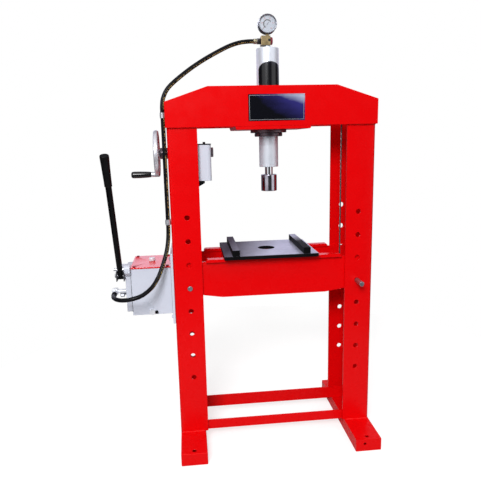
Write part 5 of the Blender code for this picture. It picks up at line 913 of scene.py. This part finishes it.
def tank_fittings():
    """Filler cap, drain plug and a black disc right of it and a little lower, the lid's screws and the
    release valve's knob.

    The filler cap's radius drops by up to 3.5 % in its knurl, a raised cosine with 36 ridges. The valve
    knob's drops by up to 16 % in eight flutes, the square of a raised cosine.
    """
    def knurl(t, height):
        inside = (height > 0.6612) & (height < 0.6700)
        return 1 - 0.035 * inside * (0.5 - 0.5 * np.cos(36 * t))

    def flutes(t, height):
        inside = (height > -0.0141) & (height < 0.001)
        return 1 - 0.16 * inside * (0.5 + 0.5 * np.cos(8 * t)) ** 2

    profile = soft([(0, 0.6723), (0.0095, 0.6723), (0.0110, 0.6690), (0.0110, 0.6618), (0.0098, 0.6597),
                    (0.0078, 0.6597), (0.0078, 0.6513), (0, 0.6513)],
                   (0, 0.0022, 0.0012, 0.0006, 0.0006, 0.0003, 0.0004, 0))
    knob = turned(profile, FILLER_AXIS, Z, 216, wave=knurl)
    piece("filler_knob", "filler", "satin", [knob], ("filler_cap",), 50)
    plug = hexagon(0.0182, 0.0, 0.0100, DRAIN_PLUG, -Y, 72)
    collar = turned(drum(0.0108, -0.0006, 0.0022, 0.0005), DRAIN_PLUG, -Y, 72)
    piece("drain", "frame", "satin", [plug, collar], ("drain_plug",), 30)
    # A black disc 15 mm right of the drain plug and a little lower
    screw = turned(drum(0.0050, -0.0006, 0.0085, 0.0009), DRAIN_DARK_DISC, -Y, 48)
    piece("drain_dark_disc", "frame", "black", [screw], (), 30)
    low, high = corners("tank_lid")
    inset = 0.012
    heads = [hexagon(0.0090, 0.0, 0.0034, (x, y, high[2] - 0.0030), Z)
             for x in (low[0] + inset, high[0] - inset) for y in (low[1] + inset, high[1] - inset)]
    piece("lid_screws", "frame", "cap", heads, (), 30)
    profile = soft([(0, 0.0), (0.0110, 0.0), (0.0110, -0.0140), (0.0045, -0.0140), (0.0045, -0.0257),
                    (0, -0.0257)], (0, 0.0020, 0.0016, 0.0003, 0.0004, 0))
    knob = turned(profile, VALVE, -X, 128, wave=flutes)
    piece("valve_knob", "valve", "zinc", [knob], ("release_valve",), 40)


def pump_handle():
    """The lever with its rubber grip, the fulcrum pin and the link bolt, each a profile turned."""
    profile = soft([(0, -0.0360), (0.0095, -0.0360), (0.0095, 0.4100), (0, 0.4100)], (0, 0.0030, 0.0012, 0))
    bar = turned(profile, FULCRUM, LEVER_WAY, 64)
    piece("lever_bar", "lever", "black", [bar], ("pump_lever",))
    grip = soft([(0.0098, 0.3120), (0.0115, 0.3120), (0.0117, 0.3300), (0.0130, 0.3850),
                 (0.0138, 0.4040), (0.0138, 0.4125), (0.0100, 0.4130), (0, 0.4130), (0, 0.4105),
                 (0.0098, 0.4105)],
                (0, 0.0010, 0.002, 0.01, 0.004, 0.0035, 0.001, 0, 0, 0))
    sleeve = turned(grip, FULCRUM, LEVER_WAY)
    piece("grip_sleeve", "lever", "rubber", [sleeve], ("lever_grip",))
    pin = turned(drum(0.0050, -0.0200, 0.0325, 0.0008), FULCRUM, X, 48)
    piece("fulcrum_bolt", "frame", "zinc", [pin], ("fulcrum_pin",))
    head = hexagon(0.0139, 0.0, 0.0050, LINK_BOLT, -X, 60)
    shank = turned(drum(0.0050, -0.0010, 0.0272, 0.0004), LINK_BOLT, X, 40)
    piece("link", "lever", "zinc", [head, shank], ("link_bolt",), 30)


# Bed

def bed():
    """The two rails, the press plate with its bars, and the two pins, which are turned bars."""
    dressed("front_bed_rail", "bed", "red", 0.0010)
    dressed("rear_bed_rail", "bed", "red", 0.0010)
    dressed("press_plate", "plate", "plate", 0.0010)
    for side in ("left", "right"):
        node = side + "_bed_pin"
        low, high = corners(node)
        half = (high[1] - low[1]) / 2
        bar = turned(drum(0.0085, -half, half, 0.0016), middle(node), Y, 64)
        piece(node + "_bar", side + "_pin", "pin", [bar], (node,))


# Winch

HUB_HALF = 0.0100
WHEEL_RADIUS = 0.069
WHEEL = middle("crank_shaft") * (0, 1, 1) + (corners("handwheel")[1] - HUB_HALF) * X
GRIP_AXIS = WHEEL - Z * WHEEL_RADIUS


def winch():
    """Bracket, housing, cap, drum and crank shaft in their CAD shapes, and the shaft bearing turned."""
    dressed("winch_bracket", "frame", "black", 0.0007)
    dressed("winch_housing", "frame", "grey", 0.0009)
    dressed("winch_cap", "frame", "black", 0.0008)
    dressed("winch_drum", "drum", "steel", 0.0003, 1)
    dressed("crank_shaft", "crank", "collar", 0.0005)
    profile = soft([(0.0185, 0), (0.0185, -0.0260), (0.00815, -0.0260), (0.00815, 0)],
                   (0.001, 0.003, 0.0008, 0.0), True)
    boss = turned(profile, face_centre("shaft_bearing", 0, 1), X, 80, ring=True)
    piece("bearing_boss", "frame", "collar", [boss], ("shaft_bearing",))


def handwheel():
    """The crank wheel: a rim, three spokes, a hub, the grip's boss and the turning grip.

    The rim's section is a squared circle, each of cos and sin to the power 0.62. A spoke is a round section
    that thins to its middle, on a line which bows by a sine.
    """
    angle = np.linspace(0, TURN, 36, endpoint=False)
    circle = np.stack((np.cos(angle), np.sin(angle)), axis=-1)
    section = 0.0080 * np.sign(circle) * np.abs(circle) ** 0.62 + (WHEEL_RADIUS, 0)
    parts = [turned(section[::-1], WHEEL, X, 144, ring=True)]
    for turn in np.arange(3) * TURN / 3:
        way = np.array((0, np.sin(turn), -np.cos(turn)))
        t = np.linspace(0, 1, 18)[:, None]
        line = WHEEL + way * (0.010 + 0.055 * t) + X * 0.002 * np.sin(np.pi * t)
        parts.append(swept(line, np.interp(t[:, 0], (0, 0.5, 1), (0.0055, 0.0042, 0.0046)), X, 20))
    piece("wheel", "crank", "wheel", parts, ("handwheel",), 40)
    hub = soft([(0.0083, HUB_HALF), (0.0140, HUB_HALF), (0.0140, -HUB_HALF), (0.0083, -HUB_HALF)],
               (0.0005, 0.0020, 0.0020, 0.0005), True)
    piece("wheel_hub", "crank", "wheel", [turned(hub, WHEEL, X, 72, ring=True)], (), 30)
    boss = soft([(0, -0.0050), (0.0085, -0.0050), (0.0085, 0.0220), (0.0045, 0.0220), (0.0045, 0.0872),
                 (0, 0.0872)], (0, 0.0005, 0.0015, 0.0004, 0.0005, 0))
    piece("grip_boss", "crank", "zinc", [turned(boss, GRIP_AXIS, -X, 56)], (), 30)
    grip = soft([(0.0047, 0.0000), (0.0080, 0.0000), (0.0092, 0.0020), (0.0103, 0.0130), (0.0112, 0.0360),
                 (0.0112, 0.0590), (0.0098, 0.0645), (0.0060, 0.0660), (0.0047, 0.0660)],
                (0.0, 0.0008, 0.0020, 0.0080, 0.0080, 0.0040, 0.0030, 0.0010, 0.0), True)
    knob = turned(grip, GRIP_AXIS - X * 0.0223, -X, 96, ring=True)
    piece("turning_grip", "grip", "phenolic", [knob], ("crank_grip",))


# Lifting rope

ROPE_RADIUS = 0.0025
ROPE_Y = middle("upper_rope")[1]
PITCH_RADIUS = 0.020
DRUM_FALL = (0.9875, 1.07, 1.1490)


def rope_piece(name, body, line, node):
    """A length of wire rope: a round section along a line."""
    length = np.sum(np.linalg.norm(np.diff(line, axis=0), axis=1))
    FINISHES[name] = rope_finish("wire rope, galvanised, " + name.replace("_", " "), length, ROPE_RADIUS)
    return piece(name, body, name, [swept(line, ROPE_RADIUS, Y, 18)], (node,), 60)


def arc_line(node, first, last, steps=24):
    """The rope round a wheel: points c + r (cos a, sin a) between two angles in degrees."""
    angle = np.radians(np.linspace(first, last, steps))
    x, y, z = middle(node)
    across = x + PITCH_RADIUS * np.cos(angle)
    return np.stack((across, np.full(steps, y), z + PITCH_RADIUS * np.sin(angle)), axis=-1)


def straight_line(x, heights):
    """An upright stretch of rope through some heights."""
    return np.stack((np.full(len(heights), x), np.full(len(heights), ROPE_Y), heights), axis=-1)


def rope_run():
    """The rope from the winch over the top sheaves, down, under the bed's pulleys and up to its anchor.

    Each fall is a straight upright run between the lowest and highest points of its node.
    """
    over = np.concatenate((straight_line(middle("top_left_sheave")[0] - PITCH_RADIUS, DRUM_FALL),
                           arc_line("top_left_sheave", 180, 90), arc_line("top_right_sheave", 90, 0)))
    rope_piece("rope_over_the_beam", "frame", over, "upper_rope")
    under = np.concatenate((arc_line("bed_right_pulley", 0, -90), arc_line("bed_left_pulley", -90, -180)))
    rope_piece("rope_under_the_bed", "bed", under, "lower_rope")
    for node in ("left_rope_fall", "right_rope_fall"):
        low, high = np.round(corners(node), 4)
        x, y, _ = (low + high) / 2
        line = straight_line(x, np.linspace(low[2], high[2], 40))
        rope = rope_piece(node + "_strands", "frame", line, node)
        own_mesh(rope)


def sheaves():
    """The four grooved wheels: the groove's radius rises with the cube of the way from its middle."""
    half = 0.0040
    groove = np.linspace(half, -half, 13)
    root = 0.0171 + 0.0074 * (np.abs(groove) / half) ** 3
    profile = [(0.0053, 0.0059), (0.0235, 0.0059), (0.0249, 0.0050), (0.0249, 0.0042), *zip(root, groove),
               (0.0249, -0.0042), (0.0249, -0.0050), (0.0235, -0.0059), (0.0053, -0.0059)]
    for node, body in (("top_left_sheave", "left_sheave"), ("top_right_sheave", "right_sheave"),
                       ("bed_left_pulley", "left_pulley"), ("bed_right_pulley", "right_pulley")):
        wheel = turned(profile, middle(node), -Y, 80, ring=True)
        piece(node + "_wheel", body, "steel", [wheel], (node,))


# Labels

PLATE_LEFT, PLATE_RIGHT = -0.0820, 0.1030
PLATE_LOW, PLATE_HIGH = 1.1330, 1.2170
PLATE_FRONT = -0.1114
LABEL_LOW, LABEL_HIGH = 1.2440, 1.3285
LABEL_SHOULDER = 1.2990
LABEL_HALF = 0.0455
BARREL_RADIUS = 0.0380


def patch(name, finish, shape, rows=12, columns=36):
    """A thin sheet on a grid, which is a function of the share across and the share up."""
    up, across = np.meshgrid(np.linspace(0, 1, rows), np.linspace(0, 1, columns), indexing="ij")
    quads, shares = lattice(rows, columns)
    piece(name, "frame", finish, [(shape(across, up), quads, shares[:, ::-1])], (), 30)


def nameplate(inset, proud):
    """A flat rectangle in front of the beam: each share times the width or height, drawn in by an inset."""
    def shape(across, up):
        x = PLATE_LEFT + inset + (PLATE_RIGHT - PLATE_LEFT - 2 * inset) * across
        z = PLATE_LOW + inset + (PLATE_HIGH - PLATE_LOW - 2 * inset) * up
        return np.stack((x, np.full_like(x, PLATE_FRONT - proud), z), -1)
    return shape


def arched_label(inset, proud):
    """A label with an arched top, wrapped on the barrel: (r sin a, -r cos a, z).

    Above the shoulder its half width is the square root of 1 - h^2, and it narrows by a tenth at its foot.
    """
    low = LABEL_LOW + inset
    high = LABEL_HIGH - inset
    radius = BARREL_RADIUS + proud

    def shape(across, up):
        z = low + (high - low) * np.sin(up * np.pi / 2)
        rise = np.clip(z - LABEL_SHOULDER, 0, None) / (high - LABEL_SHOULDER + 1e-6)
        bow = np.sqrt(np.clip(1 - rise ** 2, 0, 1))
        flare = 1 - 0.10 * np.clip((1.262 - z) / 0.018, 0, 1)
        half = (LABEL_HALF - inset) * np.maximum(bow, 0.01) * flare
        angle = np.radians(5) + (across - 0.5) * 2 * half / BARREL_RADIUS
        return np.stack((radius * np.sin(angle), -radius * np.cos(angle), z), -1)
    return shape


def labels():
    """A bare nameplate on the beam and a bare arched label on the barrel, each with a thin light border."""
    patch("nameplate_rim", "film", nameplate(0.0, 0.0))
    patch("nameplate_border", "border", nameplate(0.0034, 0.0002))
    patch("nameplate", "film", nameplate(0.0045, 0.0004))
    patch("cylinder_label_border", "border", arched_label(0.0, 0.0003), 40, 40)
    patch("cylinder_label", "label", arched_label(0.0012, 0.0006), 40, 40)


# Stage

CAMERA_TURN = np.radians((5.8206, 11.1331, 1.3361))


def posed(data, across, rise, away, place):
    """An object at a place from the press axis, its own x, y and z along three directions."""
    item = bpy.data.objects.new(data.name, data)
    pose = np.eye(4)
    pose[:3] = np.stack((across, rise, away, PRESS_AXIS + place), axis=-1)
    item.matrix_world = Matrix(pose.tolist())
    bpy.context.scene.collection.objects.link(item)
    return item


def camera(settings):
    """The camera: turned right, then down, then rolled by three angles."""
    data = bpy.data.cameras.new("camera")
    data.lens = settings.lens
    data.sensor_width = 36
    data.clip_end = 50
    yaw, pitch, roll = CAMERA_TURN
    forward = np.array((np.sin(yaw) * np.cos(pitch), np.cos(yaw) * np.cos(pitch), -np.sin(pitch)))
    right = np.array((np.cos(yaw), -np.sin(yaw), 0))
    down = np.cross(forward, right)
    across = np.cos(roll) * right + np.sin(roll) * down
    rise = np.sin(roll) * right - np.cos(roll) * down
    bpy.context.scene.camera = posed(data, across, rise, -forward, np.array(settings.camera_place))


def lamps(settings):
    """Two soft lamps in front, each facing the point that it is aimed at."""
    for name, place, aim, power, width, height in (
            ("key lamp", (-1.15, -3.50, 2.85), 0.75 * Z, settings.key_power, 1.3, 1.3),
            ("fill lamp", (1.9, -3.2, 3.6), 0.6 * Z, settings.fill_power, 2.4, 2.0)):
        data = bpy.data.lights.new(name, "AREA")
        data.shape = "RECTANGLE"
        data.size = width
        data.size_y = height
        data.energy = power
        away = unit(place - aim)
        side = unit(np.cross(Z, away))
        posed(data, side, np.cross(away, side), away, place)


def panel(tree, turn, height, span, heights, level):
    """A soft-edged light panel between two turns from the front, in degrees, and two heights, as sines.

    It is its level times the product of four ramps 0.12 wide, one at each edge.
    """
    edge = 0.06
    first, last = np.radians(span)
    share = level
    low, high = heights
    for value, place, opens in ((turn, first, 1), (turn, last, 0), (height, low, 1), (height, high, 0)):
        ramp = add(tree, "MapRange", (value, place - edge, place + edge, 1 - opens, opens))
        share = add(tree, "Math", (ramp, share), operation="MULTIPLY")
    return share


def studio(settings):
    """The room's light: dim in front but for two panels, bright above and behind, and white to the camera.

    A mirror that looks back past the press sees a bright strip just above the horizon, and dark elsewhere.
    """
    world = bpy.data.worlds.new("studio")
    bpy.context.scene.world = world
    world.use_nodes = True
    tree = world.node_tree
    tree.nodes.clear()
    x, y, z = add(tree, "SeparateXYZ", (add(tree, "TexCoord", output="Generated"),), ALL)
    ahead = add(tree, "Math", (y, -1.0), operation="MULTIPLY")
    turn = add(tree, "Math", (x, ahead), operation="ARCTAN2")
    rays = add(tree, "LightPath").node.outputs
    glossy = add(tree, "Math", (rays["Is Glossy Ray"], 0.75, 0.25), operation="MULTIPLY_ADD")
    level = add(tree, "MapRange", (z, 0.40, 0.85, settings.front_level, settings.top_level))
    for span, strength in (((-68, -22), settings.left_level), ((31, 76), settings.right_level)):
        part = panel(tree, turn, z, span, (-0.25, 0.55), strength)
        level = add(tree, "Math", (part, glossy, level), operation="MULTIPLY_ADD")
    for span in ((-400, -120), (120, 400)):
        part = panel(tree, turn, z, span, (-0.3, 0.45), settings.back_level)
        level = add(tree, "Math", (level, part), operation="ADD")
    behind = add(tree, "MapRange", (y, 0.3, 0.5, 0, 1))
    mirrored = add(tree, "Math", (rays["Is Glossy Ray"], behind), operation="MULTIPLY")
    rise = add(tree, "MapRange", (z, 0.10, 0.16, 0.12, 1.3))
    fall = add(tree, "MapRange", (z, 0.36, 0.46, 1.0, 0.12))
    strip = add(tree, "Math", (rise, fall), operation="MULTIPLY")
    level = add(tree, "Mix", {0: mirrored, 2: level, 3: strip}, data_type="FLOAT")
    seen = add(tree, "Math", (rays["Is Camera Ray"], rays["Is Transmission Ray"]), operation="MAXIMUM")
    strength = add(tree, "Mix", {0: seen, 2: level, 3: 1.0}, data_type="FLOAT")
    tint = add(tree, "Mix", {0: mirrored, 6: (1, 1, 1, 1), 7: (0.94, 0.94, 1.14, 1)}, **COLOURS)
    background = add(tree, "Background", {"Color": tint, "Strength": strength})
    wire(tree, tree.nodes.new("ShaderNodeOutputWorld"), (background,))


def studio_floor(settings):
    """A disc of matt white card, cloudy over 700 mm, which the camera sees lightened to the photo's white."""
    radius = np.linspace(0, 1.4, 9)
    points, quads, _ = turned(np.stack((radius, np.zeros(9)), -1), PRESS_AXIS - 0.0006 * Z, Z, 64)
    floor = bpy.data.objects.new("floor", welded("floor", points.reshape(-1, 3), quads.tolist()))
    bpy.context.scene.collection.objects.link(floor)
    material, tree, shader = principled("studio floor, matt white card")
    tone = mottle(tree, 700, 2, (0.3, 0.7))
    base = add(tree, "Mix", {0: tone, 6: linear("BCBCBC"), 7: linear("C4C4C4")}, **COLOURS)
    wire(tree, shader, {"Base Color": base, "Roughness": 0.9, "Specular IOR Level": 0.0})
    camera_ray = add(tree, "LightPath", output="Is Camera Ray")
    lift = add(tree, "Math", (camera_ray, settings.floor_lift), operation="MULTIPLY")
    glow = add(tree, "Emission", {"Color": (1, 1, 1, 1), "Strength": lift})
    wire(tree, tree.nodes["Material Output"], (add(tree, "AddShader", (shader.outputs[0], glow)),))
    floor.data.materials.append(material)


# The add-on

def paint(name, description, hex_colour):
    """A colour that a user may change."""
    return bpy.props.FloatVectorProperty(name=name, description=description, subtype="COLOR", size=4, min=0,
                                         max=1, default=linear(hex_colour))


def light(name, description, highest, default):
    """A level of light that a user may change, as a share of white."""
    return bpy.props.FloatProperty(name=name, description=description, min=0, max=highest, default=default)


def lamp_power(name, description, default):
    """A lamp's power that a user may change."""
    return bpy.props.FloatProperty(name=name, description=description, subtype="POWER", unit="POWER", min=0,
                                   default=default)


class ShopPressColours(bpy.types.PropertyGroup):
    """Paint colours of the press."""
    frame: paint("Frame enamel", "Gloss enamel on the frame, the bed and the tank's lid", "E60408")
    frame_deep: paint("Frame enamel, thick", "The frame's enamel where it lies thicker", "DE0407")
    cylinder: paint("Cylinder", "Silver enamel on the cylinder", "E6ECF6")
    tank: paint("Tank and winch", "Light grey enamel on the tank and the winch housing", "D5D9E7")


class ShopPressSizes(bpy.types.PropertyGroup):
    """Sizes that a user may change."""
    hose_diameter: bpy.props.FloatProperty(
        name="Hose diameter", description="Outside diameter of the hydraulic hose", subtype="DISTANCE",
        unit="LENGTH", min=0.008, max=0.016, default=0.014)


class ShopPressStage(bpy.types.PropertyGroup):
    """Camera and studio light."""
    lens: bpy.props.FloatProperty(
        name="Lens", description="Focal length of the camera", unit="CAMERA", min=10, max=200, default=38.24)
    camera_place: bpy.props.FloatVectorProperty(
        name="Camera place", description="Where the camera stands, from the foot of the press axis",
        subtype="TRANSLATION", size=3, default=(-0.2887, -1.7916, 1.0741))
    key_power: lamp_power("Key lamp", "Power of the large lamp in front, on the left", 140)
    fill_power: lamp_power("Fill lamp", "Power of the lamp in front, on the right", 14)
    left_level: light("Left panel", "Light of the white panel in front on the left", 3, 0.95)
    right_level: light("Right panel", "Light of the grey panel in front on the right", 3, 1.1)
    back_level: light("Backdrop light", "Light from behind the press", 2, 0.45)
    front_level: light("Room light", "Light from behind the camera and from the sides", 2, 0.06)
    top_level: light("Ceiling light", "Light from above", 2, 0.9)
    floor_lift: light("Floor white", "What the floor is lightened by where the camera sees it", 1, 0.62)


class SHOP_PRESS_OT_finishes(bpy.types.Operator):
    """Makes the paints, metals and rubbers"""
    bl_idname = "shop_press.finishes"
    bl_label = "Finishes"

    def execute(self, context):
        make_finishes(context.scene.shop_press_colours)
        return {"FINISHED"}


class SHOP_PRESS_OT_stage(bpy.types.Operator):
    """Sets the camera, the lamps, the world and the floor"""
    bl_idname = "shop_press.stage"
    bl_label = "Stage"

    def execute(self, context):
        for part in (camera, lamps, studio, studio_floor):
            part(context.scene.shop_press_stage)
        context.scene.view_settings.view_transform = "Standard"
        return {"FINISHED"}


class SHOP_PRESS_OT_hose(bpy.types.Operator):
    """Lays the hydraulic hose from the manifold to the pump"""
    bl_idname = "shop_press.hose"
    bl_label = "Hose"

    def execute(self, context):
        hydraulic_hose(context.scene.shop_press_sizes.hose_diameter)
        hose_fittings()
        return {"FINISHED"}


class SHOP_PRESS_OT_clips(bpy.types.Operator):
    """Straps the hose to the left column"""
    bl_idname = "shop_press.clips"
    bl_label = "Hose clips"

    def execute(self, context):
        hose_clip("upper_hose_clip", UPPER_CLIP_KNOT)
        hose_clip("lower_hose_clip", LOWER_CLIP_KNOT)
        return {"FINISHED"}


class SHOP_PRESS_OT_frame(bpy.types.Operator):
    """Builds columns, feet, ties, beam and crosshead"""
    bl_idname = "shop_press.steelwork"
    bl_label = "Frame"

    def execute(self, context):
        frame_steelwork()
        return {"FINISHED"}


class SHOP_PRESS_OT_welds(bpy.types.Operator):
    """Runs the weld beads"""
    bl_idname = "shop_press.welds"
    bl_label = "Weld beads"

    def execute(self, context):
        frame_welds()
        return {"FINISHED"}


class SHOP_PRESS_OT_cylinder(bpy.types.Operator):
    """Builds the cylinder and its collars"""
    bl_idname = "shop_press.cylinder"
    bl_label = "Cylinder"

    def execute(self, context):
        cylinder()
        return {"FINISHED"}


class SHOP_PRESS_OT_ram(bpy.types.Operator):
    """Builds the rod, the ram head and the return spring"""
    bl_idname = "shop_press.ram"
    bl_label = "Ram"

    def execute(self, context):
        ram()
        return {"FINISHED"}


class SHOP_PRESS_OT_manifold(bpy.types.Operator):
    """Builds the brass manifold"""
    bl_idname = "shop_press.manifold"
    bl_label = "Manifold"

    def execute(self, context):
        manifold()
        return {"FINISHED"}


class SHOP_PRESS_OT_gauge(bpy.types.Operator):
    """Builds the pressure gauge"""
    bl_idname = "shop_press.gauge"
    bl_label = "Gauge"

    def execute(self, context):
        gauge_case()
        gauge_dial()
        return {"FINISHED"}


class SHOP_PRESS_OT_pump(bpy.types.Operator):
    """Builds the tank and the hand pump"""
    bl_idname = "shop_press.pump"
    bl_label = "Hand pump"

    def execute(self, context):
        tank()
        tank_fittings()
        return {"FINISHED"}


class SHOP_PRESS_OT_handle(bpy.types.Operator):
    """Builds the pump's lever and grip"""
    bl_idname = "shop_press.handle"
    bl_label = "Pump lever"

    def execute(self, context):
        pump_handle()
        return {"FINISHED"}


class SHOP_PRESS_OT_bed(bpy.types.Operator):
    """Builds the bed, the press plate and the pins"""
    bl_idname = "shop_press.bed"
    bl_label = "Bed"

    def execute(self, context):
        bed()
        return {"FINISHED"}


class SHOP_PRESS_OT_winch(bpy.types.Operator):
    """Builds the winch and its housing"""
    bl_idname = "shop_press.winch"
    bl_label = "Winch"

    def execute(self, context):
        winch()
        return {"FINISHED"}


class SHOP_PRESS_OT_handwheel(bpy.types.Operator):
    """Builds the crank wheel and its turning grip"""
    bl_idname = "shop_press.handwheel"
    bl_label = "Handwheel"

    def execute(self, context):
        handwheel()
        return {"FINISHED"}


class SHOP_PRESS_OT_ropes(bpy.types.Operator):
    """Reeves the lifting rope and its sheaves"""
    bl_idname = "shop_press.ropes"
    bl_label = "Lifting rope"

    def execute(self, context):
        rope_run()
        sheaves()
        return {"FINISHED"}


class SHOP_PRESS_OT_labels(bpy.types.Operator):
    """Lays the bare nameplate and the bare cylinder label"""
    bl_idname = "shop_press.labels"
    bl_label = "Labels"

    def execute(self, context):
        labels()
        return {"FINISHED"}


OPERATORS = (
    SHOP_PRESS_OT_finishes, SHOP_PRESS_OT_stage, SHOP_PRESS_OT_hose, SHOP_PRESS_OT_clips, SHOP_PRESS_OT_frame,
    SHOP_PRESS_OT_welds, SHOP_PRESS_OT_cylinder, SHOP_PRESS_OT_ram, SHOP_PRESS_OT_manifold,
    SHOP_PRESS_OT_gauge, SHOP_PRESS_OT_pump, SHOP_PRESS_OT_handle, SHOP_PRESS_OT_bed, SHOP_PRESS_OT_winch,
    SHOP_PRESS_OT_handwheel, SHOP_PRESS_OT_ropes, SHOP_PRESS_OT_labels)
GROUPS = {"shop_press_colours": ShopPressColours, "shop_press_sizes": ShopPressSizes,
          "shop_press_stage": ShopPressStage}


class SHOP_PRESS_PT_panel(bpy.types.Panel):
    """Lists what the press is made of, with its colours, sizes and stage"""
    bl_idname = "SHOP_PRESS_PT_panel"
    bl_label = "Shop Press"
    bl_space_type = "VIEW_3D"
    bl_region_type = "UI"
    bl_category = "Shop Press"

    def draw(self, context):
        for title, group in (("Colours", "shop_press_colours"), ("Sizes", "shop_press_sizes"),
                             ("Stage", "shop_press_stage")):
            settings = getattr(context.scene, group)
            box = self.layout.box()
            box.label(text=title)
            for key in settings.__annotations__:
                box.prop(settings, key)
        for operator in OPERATORS:
            self.layout.operator(operator.bl_idname)


CLASSES = (*GROUPS.values(), *OPERATORS, SHOP_PRESS_PT_panel)


def register():
    """Registers the add-on's classes and settings."""
    for item in CLASSES:
        bpy.utils.register_class(item)
    for name, group in GROUPS.items():
        setattr(bpy.types.Scene, name, bpy.props.PointerProperty(type=group))


def unregister():
    """Removes what register added."""
    for name in GROUPS:
        delattr(bpy.types.Scene, name)
    for item in reversed(CLASSES):
        bpy.utils.unregister_class(item)


def main():
    """Builds everything in order."""
    register()
    for operator in OPERATORS:
        group, name = operator.bl_idname.split(".")
        getattr(getattr(bpy.ops, group), name)()


if __name__ == "__main__":
    main()
